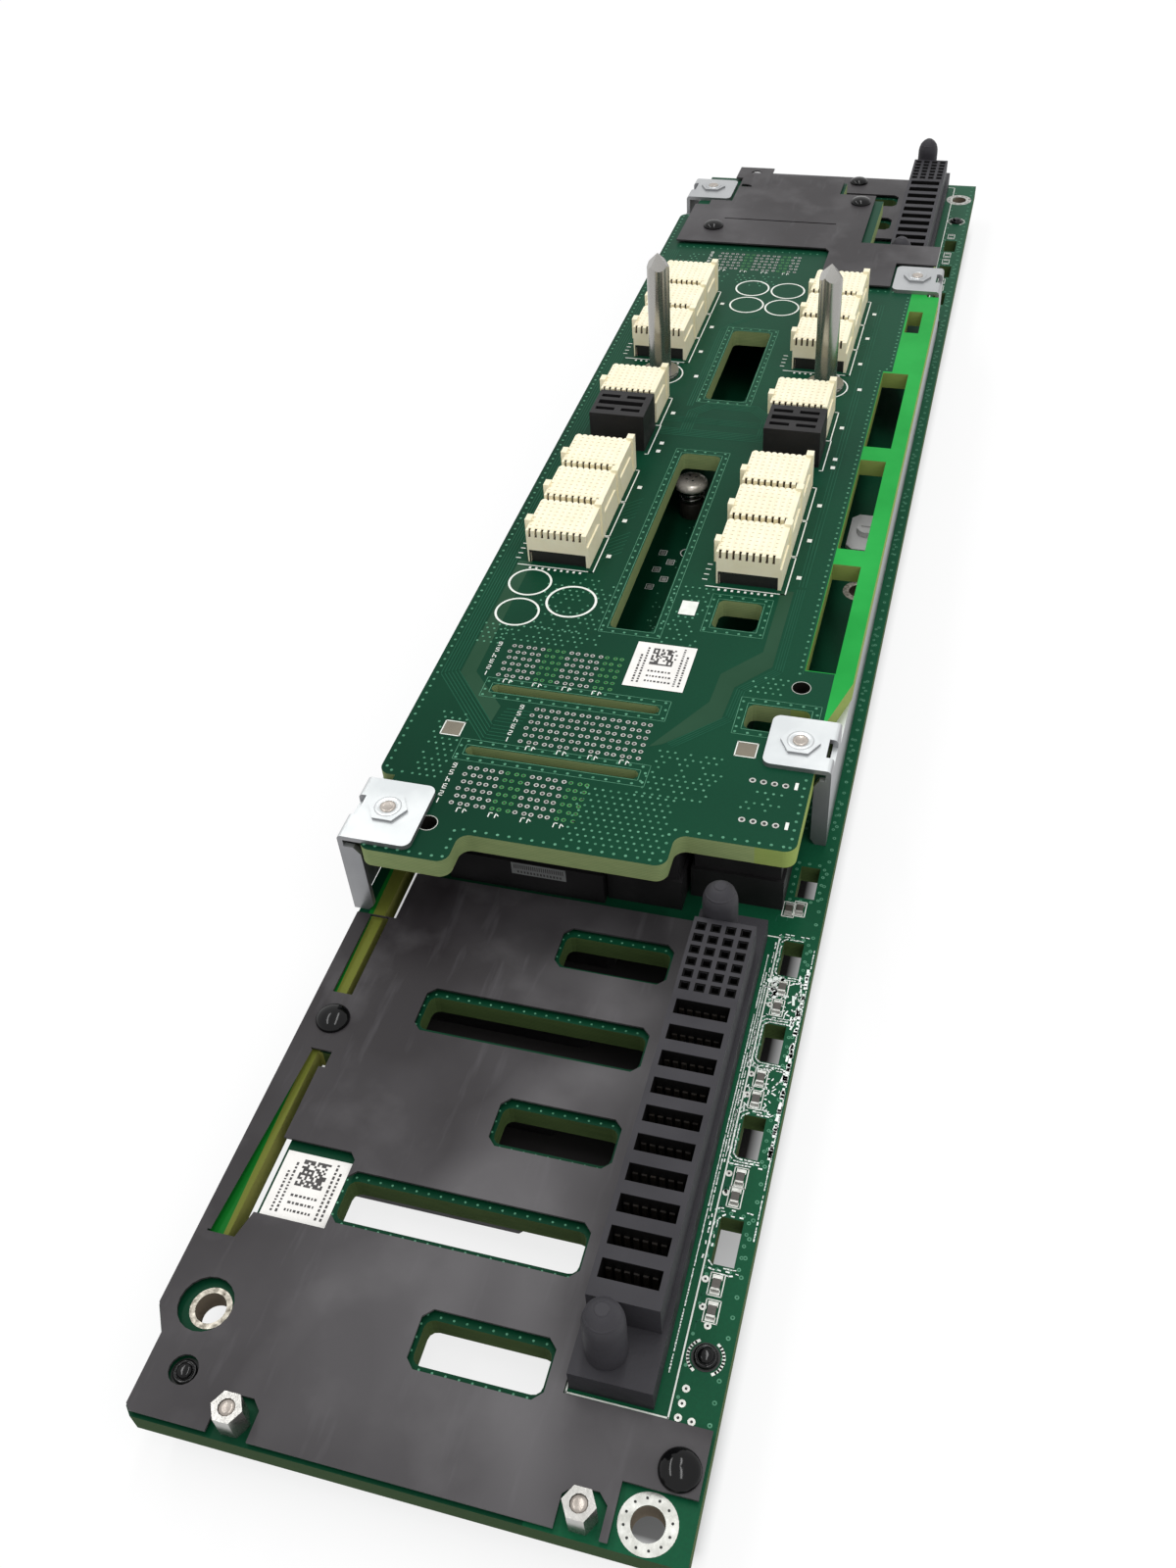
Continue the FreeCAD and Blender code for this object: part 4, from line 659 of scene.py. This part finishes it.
# White outlines beside each receptacle, its key mark and the row marks of the near ones
for cx in COLUMNS:
    left = cx - 8.6
    right = cx + 8.1
    for row, py in enumerate(ROWS):
        if row in (0, 4):
            silk.line([(left, py - 1.3), (right, py - 1.3)], 0.26)
            for k in range(9):
                silk.rect(cx - 5.9 + PIN_PITCH * k, py - 2.4, cx - 5.4 + PIN_PITCH * k, py - 1.75)
            for k in range(4):
                silk.line([(left - 1.1, py + 0.9 + k * 1.8), (left - 0.2, py + 0.9 + k * 1.8)], 0.26)
        silk.line([(right - 1.0, py - 1.3), (right, py - 1.3), (right, py + 11.9),
                   (right - 0.8, py + 11.9)], 0.26)
        silk.rect(right + 1.3, py + 4.4, right + 2.3, py + 5.6)
    block = -26.7 if cx < 0 else 14.4
    silk.line([(block + 6.9, 226.4), (block + 7.6, 226.4), (block + 7.6, 239.6)], 0.26)
    silk.rect(block + 9.2, 231.2, block + 10.2, 232.4)
    silk.rect(block + 9.2, 227.6, block + 10.2, 228.8)
    silk.ring(-25.1 if cx < 0 else 16.6, 264.4, 5.4, 5.75, 32)
    silk.rect(cx + 11.0, 263.8, cx + 12.0, 265.0)

# Test circles, white square and fiducials
for px, py in ((-31.5, 172.9), (-31.1, 162.6), (-11.2, 314.9), (-1.3, 314.6), (-10.9, 304.9), (-1.2, 304.6)):
    silk.ring(px, py, 4.25, 4.7, 40)
silk.ring(-21.0, 168.0, 4.9, 5.4, 40)
silk.rect(1.6, 168.3, 5.0, 172.9)
fiducials = Marks("fiducial_windows", top + 0.02, bare_ink)
for px, py in ((-32.2, 125.8), (23.0, 131.3)):
    silk.frame(px - 1.9, py - 1.9, px + 1.9, py + 1.9, 0.22)
    pads.disc(px, py, 0.55, 14)
    fiducials.rect(px - 1.75, py - 1.75, px + 1.75, py + 1.75)

# Two rows of four plated holes at the right and the two ringed holes
for row_y in (123.7, 113.7):
    for k in range(4):
        px = 25.6 + 2.0 * k
        py = row_y - 0.08 * k
        pads.ring(px, py, 0.32, 0.62, 14)
        holes.disc(px, py, 0.32, 12)
    silk.rect(33.2, row_y - 0.9, 33.8, row_y + 0.9)
for px, py in RINGED_HOLES:
    pads.ring(px, py, 1.72, 1.87, 28)
for thing in (fiducials, silk, pads, holes, vias, tracks, planes, green_rings):
    thing.done()

# Marks of the lower board, one piece for each kind
low_silk = Marks("silkscreen_lower", LIFT + 0.03, ink)
low_pads = Marks("tinned_holes_lower", LIFT + 0.01, tin)
low_vias = Marks("vias_lower", LIFT + 0.01, via_ink)
low_tracks = Marks("traces_lower", LIFT, trace_ink)
# Drilled holes as dark discs of painted shade
low_holes = Marks("drilled_holes_lower", LIFT + 0.04, hole_shade)
dull_rings = Marks("plated_rings_lower", LIFT + 0.01, dull_tin)
for px, py in MOUNT_HOLES:
    low_pads.ring(px, py, 2.32, 4.0, 40)
    for k in range(12):
        angle = math.pi * (k + 0.5) / 6
        low_holes.disc(px + 3.2 * math.cos(angle), py + 3.2 * math.sin(angle), 0.2)
for px, py, outer in NARROW_RINGS:
    dull_rings.ring(px, py, 2.32, outer, 40)
dull_rings.done()
low_silk.frame(20.2, 17.9, 34.7, 103.9, 0.24)
low_silk.frame(20.2, 350.4, 34.7, 436.0, 0.24)
for shift in SHIFTS:
    low_vias.discs(along_path([(35.4, 21.0 + shift), (35.4, 100.0 + shift)], 4.6), 0.28)

# Open vias along the right edge and round the strip slots
for px, py in along_path([(40.4, 9.0), (40.4, 437.0)], 3.1):
    low_vias.ring(px, py, 0.16, 0.36, 8)
for middle in STRIP_SLOTS:
    for px, py in along_path(strip_slot(middle, 0.75), 1.9, True):
        low_vias.ring(px, py, 0.14, 0.32, 8)
for px, py in ((36.2, 22.4), (36.1, 20.3), (36.0, 18.3), (37.9, 18.2), (37.2, 31.8), (35.9, 34.4),
               (35.4, 38.6), (35.5, 52.9), (35.3, 56.2), (35.3, 70.8), (35.2, 74.8), (35.6, 89.2),
               (35.5, 93.6)):
    low_pads.ring(px, py, 0.2, 0.55, 14)
    low_holes.disc(px, py, 0.2, 10)


def lands(px, py, half, far, margin):
    # Two solder lands with a white frame round both
    low_pads.rect(px - half, py - far, px + half, py - half)
    low_pads.rect(px - half, py + half, px + half, py + far)
    low_silk.frame(px - half - 0.3, py - far - margin, px + half + 0.3, py + far + margin, 0.16)


# Lands of the chip resistors and of the empty places between the far strip slots
for px, py in CHIPS:
    lands(px, py, 0.75, 1.55, 0.2)
    low_tracks.line([(px - 0.9, py - 1.1), (px - 1.8, py - 2.0), (px - 1.8, py - 3.2)], 0.2)
for middle in STRIP_SLOTS[9:]:
    lands(37.1, middle - 6.6, 0.7, 1.4, 0.3)
    lands(37.1, middle + 6.9, 0.7, 1.4, 0.3)

# Two white arcs round each snap post of the right strip
# Dark discs of painted shade lie under the snap posts.
for px, py in SNAP_POSTS[1:]:
    low_holes.disc(px, py, 2.1, 24)
    for side in (0.0, math.pi):
        turns = [side + 0.2 * k for k in range(-5, 6)]
        low_silk.line([(px + 2.55 * math.cos(turn), py + 2.55 * math.sin(turn)) for turn in turns], 0.42)
low_holes.disc(*SNAP_POSTS[0], 2.15, 24)
for k in range(3):
    low_tracks.line([(35.4 - 0.25 * k, 46.0), (35.0 - 0.25 * k, 60.0), (34.95 - 0.25 * k, 100.0)], 0.16)

# Marks seen through the long centre windows
for k in range(5):
    x0 = -13.6 + (k % 2) * 2.6
    y0 = 199.0 + k * 3.4
    low_silk.frame(x0, y0, x0 + 1.7, y0 + 1.9, 0.16)
    low_pads.rect(x0 + 0.3, y0 + 0.3, x0 + 1.4, y0 + 1.6)
for count, y0, depth in ((60, 162.5, 64.0), (20, 255.0, 33.0)):
    for k in range(count):
        low_vias.disc(-10.6 + random.random() * 8.2, y0 + random.random() * depth, 0.22, 6)
low_silk.ring(-7.0, 214.5, 1.6, 1.8, 20)

# Vias round the air slots, which end further left at every second place
for place in (0, 2, 4, 1, 3, 18, 20, 22, 19, 21):
    left = -21.6 if place % 2 else -2.2
    middle = 19.8 + DRIVE_PITCH * place
    low_vias.discs(along_path(rim(left, middle - 3.4, 17.0, middle + 3.4, 0.55), 2.0, True), 0.2, 6)
for thing in (low_silk, low_pads, low_vias, low_tracks, low_holes):
    thing.done()

# Flux residue and painted glare: thin white strokes on the right strip
flux_and_glare = Marks("flux_and_glare_streaks", LIFT + 0.06, streak)


def shaky(points, width, jitter, keep):
    # An uneven white line that breaks off here and there.
    spots = along_path(points, 0.45)
    spots = [(px + random.uniform(-jitter, jitter), py + random.uniform(-jitter, jitter)) for px, py in spots]
    for a, b in zip(spots, spots[1:]):
        if random.random() < keep and math.hypot(b[0] - a[0], b[1] - a[1]) < 1.4:
            flux_and_glare.line([a, b], width * random.uniform(0.6, 1.4))


# Lines round four strip slots, open at the right and with cut corners at the left
for place, strength in ((1, 0.75), (2, 1.0), (3, 0.6), (0, 0.35)):
    for offset, keep in ((0.35, 0.97), (0.85, 0.8), (1.35, 0.6)):
        (x0, y0), near_right, far_right, (x0, y1) = strip_slot(STRIP_SLOTS[place], offset)
        path = [near_right, (x0 + 0.8, y0), (x0, y0 + 0.8), (x0, y1 - 0.8), (x0 + 0.8, y1), far_right]
        shaky(path, 0.2, 0.06, keep * strength)
for x0, y0, y1, keep in ((33.4, 24.0, 100.0, 0.92), (33.8, 48.0, 96.0, 0.85), (34.2, 58.0, 94.0, 0.8),
                         (41.1, 46.0, 104.0, 0.8)):
    shaky([(x0, y0), (x0, y1)], 0.16, 0.02, keep)
shaky([(40.8, 60.0), (40.8, 98.0)], 0.55, 0.08, 0.7)
for k in range(14):
    px = 35.4 + random.uniform(-0.7, 1.6)
    py = 92.6 + random.uniform(-1.6, 2.4)
    flux_and_glare.disc(px, py, random.uniform(0.25, 0.6), 7)
for px, py in ((37.0, 88.8), (37.0, 93.1), (36.8, 70.1), (36.8, 74.3)):
    for k in range(26):
        qx = px + random.uniform(-2.4, 3.4)
        qy = py + random.uniform(-2.6, 2.6)
        angle = random.random() * math.pi
        reach = random.uniform(0.25, 0.9)
        end = (qx + reach * math.cos(angle), qy + reach * math.sin(angle))
        flux_and_glare.line([(qx, qy), end], random.uniform(0.1, 0.26))
for k in range(16):
    qx = 40.0 + random.uniform(-0.7, 0.9)
    qy = random.uniform(74.0, 100.0)
    end = (qx + random.uniform(-0.3, 0.3), qy + random.uniform(0.6, 1.8))
    flux_and_glare.line([(qx, qy), end], random.uniform(0.2, 0.45))
flux_and_glare.done()


def connector_tag():
    # Grey tag on the near front of a board connector, with two rows of small bars.
    tag = Piece("connector_tag", tag_grey, "black_plastic")
    bars = Piece("connector_tag_print", print_grey, "black_plastic")
    front = near_face("board_connectors") - 0.05
    tag.wall(-15.1, front, 4.2, -4.7, front, 7.2)
    front -= LIFT
    for first, pitch, count, width, z0, z1 in ((-14.6, 0.4, 24, 0.2, 5.7, 6.8),
                                               (-14.0, 0.62, 14, 0.34, 4.6, 5.2)):
        for k in range(count):
            x0 = first + pitch * k
            bars.wall(x0, front, z0, x0 + width, front, z1)
    tag.done()
    bars.done()


def label(name, x0, y0, x1, y1, level):
    # Paper label with a block of random squares and rows of random dashes, which say nothing.
    sheet = Marks(name, level, paper)
    prints = Marks(name + "_print", level + 0.03, print_grey)
    sheet.rect(x0, y0, x1, y1)
    wide = x1 - x0
    deep = y1 - y0
    cell = wide * 0.42 / 12
    for j in range(12):
        for k in range(12):
            if j in (0, 11) and k % 2 == 0 or random.random() < 0.5:
                a = x0 + wide * 0.30 + cell * k
                b = y0 + deep * 0.52 + cell * j
                prints.rect(a, b, a + cell, b + cell)
    for column, far in ((0.80, 0.92), (0.88, 0.80), (0.20, 0.86), (0.12, 0.70)):
        a = x0 + wide * column
        b = y0 + deep * 0.10
        while b < y0 + deep * far:
            stroke = deep * random.uniform(0.02, 0.05)
            prints.rect(a, b, a + wide * 0.035, b + stroke)
            b += stroke + deep * 0.022
    for k in range(3):
        a = x0 + wide * 0.32
        b = y0 + deep * (0.14 + 0.11 * k)
        while a < x0 + wide * 0.72:
            stroke = wide * random.uniform(0.02, 0.05)
            prints.rect(a, b, a + stroke, b + deep * 0.035)
            a += stroke + wide * 0.022
    sheet.done()
    prints.done()


connector_tag()
label("label_upper", -4.0, 144.4, 8.0, 158.0, top + 0.06)
label("label_lower", -33.3, 32.4, -22.4, 44.0, LIFT + 0.06)


def receptacle_tops():
    # Low ribs, a scalloped far edge, front slits dark with painted shadow and seven rows of small pressed
    # marks, darker with painted shade.
    crown = Piece("receptacle_ribs", cream_rib, "cream_plastic")
    roof = UPPER + 8.0
    dent_shades = Marks("receptacle_marks", roof + 0.175, cream_mark, "cream_plastic")
    slits = Piece("receptacle_slits", slit_dark, "cream_plastic")
    arc = ((-0.66, 0.0), (-0.5, 0.1), (0.0, 0.16), (0.5, 0.1), (0.66, 0.0))
    scallop = [(0.69, UPPER + 5.4), (0.69, roof), (0.5, roof + 0.14), (0.0, roof + 0.17)]
    for cx in COLUMNS:
        for py in ROWS:
            y0 = py + 1.1
            y1 = py + 11.7
            for k in range(9):
                mid = cx - 0.3 + (k - 4) * PIN_PITCH
                for (xa, za), (xb, zb) in zip(arc, arc[1:]):
                    crown.face([(mid + xa, y0, roof + za), (mid + xb, y0, roof + zb),
                                (mid + xb, y1, roof + zb), (mid + xa, y1, roof + za)])
                crown.face([(mid + xa, y0, roof + za) for xa, za in arc])
                crown.turned(mid, py + 11.55, scallop, 12)
                for j in range(7):
                    near = py + 1.9 + 1.42 * j
                    dent_shades.rect(mid - 0.42, near, mid + 0.1, near + 0.2)
                slits.box(mid - 0.25, py + 0.86, UPPER + 6.42, mid + 0.25, py + 0.9, roof - 0.02)
                slits.box(mid - 0.25, py + 0.03, UPPER + 6.41, mid + 0.25, py + 0.88, UPPER + 6.45)
    for thing in (crown, dent_shades, slits):
        thing.done()


def rivet_domes():
    # Smooth domes of the push rivets
    domes = Piece("rivet_domes", gloss, "black_gloss", smooth=True)
    for px, py, base in ((37.9, 11.3, 0.0), (-36.0, 68.7, 0.0), (2.9, 434.0, 0.0), (-29.8, 350.9, UPPER),
                         (10.5, 373.2, UPPER)):
        rise = base + 1.2
        profile = [(1.4, base), (1.4, rise), (2.94, rise + 0.02), (2.95, rise + 0.16)]
        for k in range(1, 8):
            angle = k / 8.0 * math.pi / 2
            profile.append((2.95 * math.cos(angle), rise + 0.16 + 1.38 * math.sin(angle)))
        profile.append((0.02, rise + 1.55))
        domes.turned(px, py, profile, 40)
    domes.done(replaces=("dome_rivets",))


def snap_caps():
    # Grooved caps of the snap posts
    caps = Piece("snap_caps", gloss, "black_plastic", smooth=True)
    profile = [(1.75, 0.0), (1.75, 0.5), (1.6, 0.62), (1.3, 0.62), (1.22, 0.5), (1.16, 0.62),
               (1.1, 0.9), (0.8, 1.06), (0.4, 1.1), (0.0, 1.1)]
    for px, py in SNAP_POSTS:
        caps.turned(px, py, profile)
    caps.done(replaces=("snap_posts",))


def post_caps():
    # Smooth skins of the bullet posts at both ends of each power connector
    bullets = Piece("post_caps", charcoal, "charcoal_plastic", smooth=True)
    profile = [(3.06, 6.0), (3.06, 13.3)]
    for k in range(1, 8):
        angle = k / 8.0 * 1.25
        profile.append((3.06 * math.cos(angle), 13.3 + 4.05 * math.sin(angle)))
    profile.extend([(0.75, 17.18), (0.0, 17.2)])
    for shift in SHIFTS:
        for py in (23.0, 98.8):
            bullets.turned(24.95, py + shift, profile, 36)
    bullets.done()


def chip_ends():
    # Tinned ends of the chip resistors
    ends = Piece("chip_ends", tin, "chip_ceramic")
    for px, py in CHIPS:
        for y0 in (py - 1.03, py + 0.72):
            ends.box(px - 0.64, y0, 0.0, px + 0.64, y0 + 0.31, 0.52)
    ends.done()


def nut_collars():
    # Round collars on the tab nuts and the screw ends inside them
    collars = Piece("nut_collars", zinc, "zinc_sheet", smooth=True)
    ends = Piece("nut_studs", screw_steel, "zinc_sheet", smooth=True)
    face = UPPER + 1.5
    collar = [(2.5, face), (2.35, face + 0.16), (2.0, face + 0.2), (1.7, face + 0.1), (1.5, face + 0.02)]
    end = [(1.45, face + 0.02), (1.4, face + 0.14), (1.1, face + 0.2), (0.8, face + 0.1), (0.5, face + 0.08),
           (0.0, face + 0.08)]
    for px, py in ((-35.9, 102.2), (-35.9, 379.7), (32.4, 134.2), (32.4, 326.1)):
        collars.turned(px, py, collar, 36)
        ends.turned(px, py, end, 28)
    collars.done()
    ends.done()


def standoff_studs():
    # Round screw ends in the two hexagonal standoffs
    studs = Piece("standoff_studs", screw_steel, "pin_steel", smooth=True)
    for px in (-23.0, 26.7):
        studs.turned(px, 2.9, [(1.24, 4.3), (1.24, 4.7), (1.05, 4.92), (0.6, 4.99), (0.0, 5.0)], 28)
    studs.done()


def captive_screw():
    # Domed pan head with a cross recess, collar with neck, and a coil spring between them
    cx, cy = CAPTIVE_SCREW
    head = Piece("captive_pan_head", lit_head_steel, "pin_steel", smooth=True)
    head.turned(cx, cy, [(1.9, 7.6), (3.4, 7.6), (3.9, 7.9), (4.0, 8.4), (3.85, 9.1), (3.3, 9.6), (2.4, 9.88),
                         (1.2, 9.98), (0.0, 10.0)], 48)
    head.done(replaces=("captive_screw",))
    collar = Piece("captive_collar", collar_steel, "pin_steel", smooth=True)
    collar.turned(cx, cy, [(2.9, 0.0), (2.9, 3.9), (2.8, 4.0), (1.9, 4.0), (1.9, 7.6)], 40)
    collar.done()
    # Painted shade: the cross recess is a dark flat mark.
    cross = Marks("captive_cross", 9.985, hole_shade, "pin_steel")
    for spin in (0.5, 0.5 + math.pi / 2):
        ux, uy = math.cos(spin), math.sin(spin)
        slot = ((-1.5, -0.22), (1.5, -0.22), (1.5, 0.22), (-1.5, 0.22))
        cross.flat([(cx + a * ux - b * uy, cy + a * uy + b * ux) for a, b in slot])
    cross.done()
    spring = Piece("captive_spring", steel, "pin_steel", smooth=True)
    coil_radius, wire_radius = 2.75, 0.32
    low, rise, turns, sections = 4.3, 3.0, 2.4, 72
    loops = []
    for k in range(sections + 1):
        angle = 2 * math.pi * turns * k / sections
        height = low + rise * k / sections
        loops.append([(cx + reach * math.cos(angle), cy + reach * math.sin(angle), height + up)
                      for reach, up in circle(coil_radius, 0.0, wire_radius, 8)])
    spring.rings(loops)
    spring.done()


def power_details():
    # Contact leaves in the power windows, darkened with painted shade; vents at the right foot and mouths
    # round the signal holes, dark with painted shade
    leaves = Piece("power_leaves", shaded_bronze, "charcoal_plastic")
    vents = Piece("power_vents", hole_shade, "charcoal_plastic")
    mouths = Marks("signal_mouths", 11.84, mouth_shade, "charcoal_plastic")
    vent_x = 32.62
    inner, outer = 0.6, 0.86
    for shift in SHIFTS:
        for k in range(10):
            y0 = POWER_NEAR + 11.2 + POWER_PITCH * k + shift
            for j in range(6):
                x0 = 22.5 + j * 1.36
                leaves.box(x0, y0 + 2.6, 4.0, x0 + 0.8, y0 + 2.9, 9.4)
            vents.wall(vent_x, y0 + 0.2, 1.4, vent_x, y0 + 2.4, 3.6)
        for row in range(6):
            for column in range(4):
                px = 26.5 + (column - 1.5) * SIGNAL_PITCH
                py = SIGNAL_ROW + SIGNAL_PITCH * row + shift
                mouths.rect(px - outer, py - outer, px - inner, py + outer)
                mouths.rect(px + inner, py - outer, px + outer, py + outer)
                mouths.rect(px - inner, py - outer, px + inner, py - inner)
                mouths.rect(px - inner, py + inner, px + inner, py + outer)
    for thing in (leaves, vents, mouths):
        thing.done()


def film_flap():
    # The small flap of film over the left opening
    flap = Marks("film_flap", 1.22, film, "grey_film")
    flap.flat([(-39.5, 28.0), (-38.9, 28.0), (-36.95, 62.0), (-37.4, 62.4), (-39.5, 54.0)])
    flap.done()


def underside():
    # Gold contact rows in the drive receptacles, solder tips and via rings under the lower board
    fingers = Piece("drive_contacts", gold, "black_plastic")
    for k in range(24):
        centre = FIRST_DRIVE + 2.6 + DRIVE_PITCH * k
        for j in range(22):
            if j not in (7, 8):
                x0 = -28.2 + j * 1.27
                fingers.box(x0, centre + 0.1, -10.6, x0 + 0.7, centre + 0.22, -6.6)
    fingers.done()
    level = BOARD_BOTTOM - LOWER_TOP - LIFT
    tips = Marks("pin_tips_under", level - 0.02, tin, down=True)
    rings = Marks("via_rings_under", level - 0.01, via_ink, down=True)
    for x0, y0, x1, y1 in ((-28.0, 142.6, -5.6, 151.8), (-18.0, 125.0, 4.6, 134.2),
                           (-25.4, 106.8, -2.0, 116.2)):
        for row in range(6):
            for k in range(14):
                tips.disc(x0 + (x1 - x0) * k / 13, y0 + (y1 - y0) * row / 5, 0.3)
    columns = [22.7 + SIGNAL_PITCH * j for j in range(4)]
    for shift in SHIFTS:
        for k in range(10):
            for px in columns:
                for gap in (0.0, 2.0):
                    tips.disc(px, 30.6 + POWER_PITCH * k + gap + shift, 0.42)
        for k in range(6):
            for px in columns:
                tips.disc(px, SIGNAL_ROW + SIGNAL_PITCH * k + shift, 0.38)
    rings.discs(along_path([(-38.0, 4.0), (-38.0, 434.0)], 3.0), 0.25)
    rings.discs(along_path([(40.4, 9.0), (40.4, 437.0)], 3.1), 0.25)
    for px, py in LOWER_HOLES:
        tips.ring(px, py, 2.32, 4.0, 40)
    tips.done()
    rings.done()


for build in (receptacle_tops, rivet_domes, snap_caps, post_caps, chip_ends, nut_collars, standoff_studs,
              captive_screw, power_details, film_flap, underside):
    build()


def pale_floor():
    # Plain pale floor with a painted shadow under the board, dark beyond the second air slot, grey at the
    # right.
    size = 6.0
    level = -1e-4
    mesh = bpy.data.meshes.new("floor")
    mesh.from_pydata([(-size, -size, level), (size, -size, level), (size, size, level), (-size, size, level)],
                     [], [(0, 1, 2, 3)])
    floor = bpy.data.objects.new("floor", mesh)
    bpy.context.collection.objects.link(floor)
    s = Shader("pale_floor")
    x, y = s.place()[:2]
    far_end = s.steps(y, 433.2, 425.2)
    middle = s.product(s.steps(s.math("ABSOLUTE", x), 43.0, 36.0), s.steps(y, 52.2, 58.2), far_end)
    strip = s.product(s.steps(x, 27.0, 30.0), s.steps(x, 43.0, 39.0), s.steps(y, 3.3, 6.2), far_end)
    depth = s.math("ADD", s.product(s.steps(y, 29.2, 19.2), 0.3), 0.6)
    # Painted shadow: the floor colour turns dark under the board.
    covered = s.math("MAXIMUM", middle, s.product(strip, depth))
    pale = s.mix(s.noise(3.0), (250, 250, 250), (247, 247, 248))
    s.set(Base_Color=s.mix(covered, pale, (46, 44, 44)), Roughness=0.9, Specular_IOR_Level=0.1)
    glow = s.add("ShaderNodeEmission")
    glow.inputs["Color"].default_value = (1.0, 1.0, 1.0, 1.0)
    blend = s.add("ShaderNodeMixShader")
    s.join(s.product(s.direct_rays(), s.math("SUBTRACT", 1.0, covered), 0.8), blend.inputs[0])
    s.join(s.bsdf.outputs["BSDF"], blend.inputs[1])
    s.join(glow.outputs["Emission"], blend.inputs[2])
    s.join(blend.outputs["Shader"], s.tree.nodes["Material Output"].inputs["Surface"])
    mesh.materials.append(s.mat)


def white_sky():
    # White where it is seen, softer as light on the object
    world = bpy.data.worlds.new("sky")
    bpy.context.scene.world = world
    world.use_nodes = True
    sky = world.node_tree.nodes["Background"]
    sky.inputs["Color"].default_value = (1.0, 1.0, 1.0, 1.0)
    rays = Nodes(world.node_tree)
    rays.join(rays.scaled(rays.direct_rays(), 0.62, 1.0), sky.inputs["Strength"])


def lamp(name, place, target, size, power):
    light = bpy.data.lights.new(name, "AREA")
    light.shape = "RECTANGLE"
    light.size = size[0]
    light.size_y = size[1]
    light.energy = power
    thing = bpy.data.objects.new(name, light)
    bpy.context.collection.objects.link(thing)
    thing.location = place
    thing.rotation_euler = (Vector(target) - Vector(place)).to_track_quat("-Z", "Y").to_euler()
    return thing


def photo_camera():
    # Camera at the photograph's place
    lens = bpy.data.cameras.new("photo_camera")
    lens.sensor_fit = "HORIZONTAL"
    lens.sensor_width = 36.0
    lens.lens = 43.26
    lens.shift_x = -0.0069
    lens.shift_y = 0.0049
    lens.clip_start = 0.01
    lens.clip_end = 50.0
    camera = bpy.data.objects.new("photo_camera", lens)
    bpy.context.collection.objects.link(camera)
    right = (0.9627, 0.2648, -0.0564)
    above = (-0.1474, 0.6873, 0.7114)
    back = (0.2271, -0.6765, 0.7006)
    turn = Matrix((right, above, back)).transposed().to_4x4()
    camera.matrix_world = Matrix.Translation((0.0563, -0.2750, 0.2071)) @ turn
    bpy.context.scene.camera = camera


pale_floor()
white_sky()
# Two parallel tubes overhead, which the glossy domes show as two upright bars
for name, x0 in (("key_lamp_left", -0.66), ("key_lamp_right", 0.03)):
    lamp(name, (x0, 0.18, 1.2), (x0, 0.18, 0.0), (0.1, 1.3), 4.4).rotation_euler[2] += 0.21
lamp("fill_lamp", (0.7, -0.5, 0.9), (0.0, -0.05, 0.0), (0.9, 0.9), 4.0).visible_glossy = False
photo_camera()
bpy.context.scene.view_settings.view_transform = "Standard"
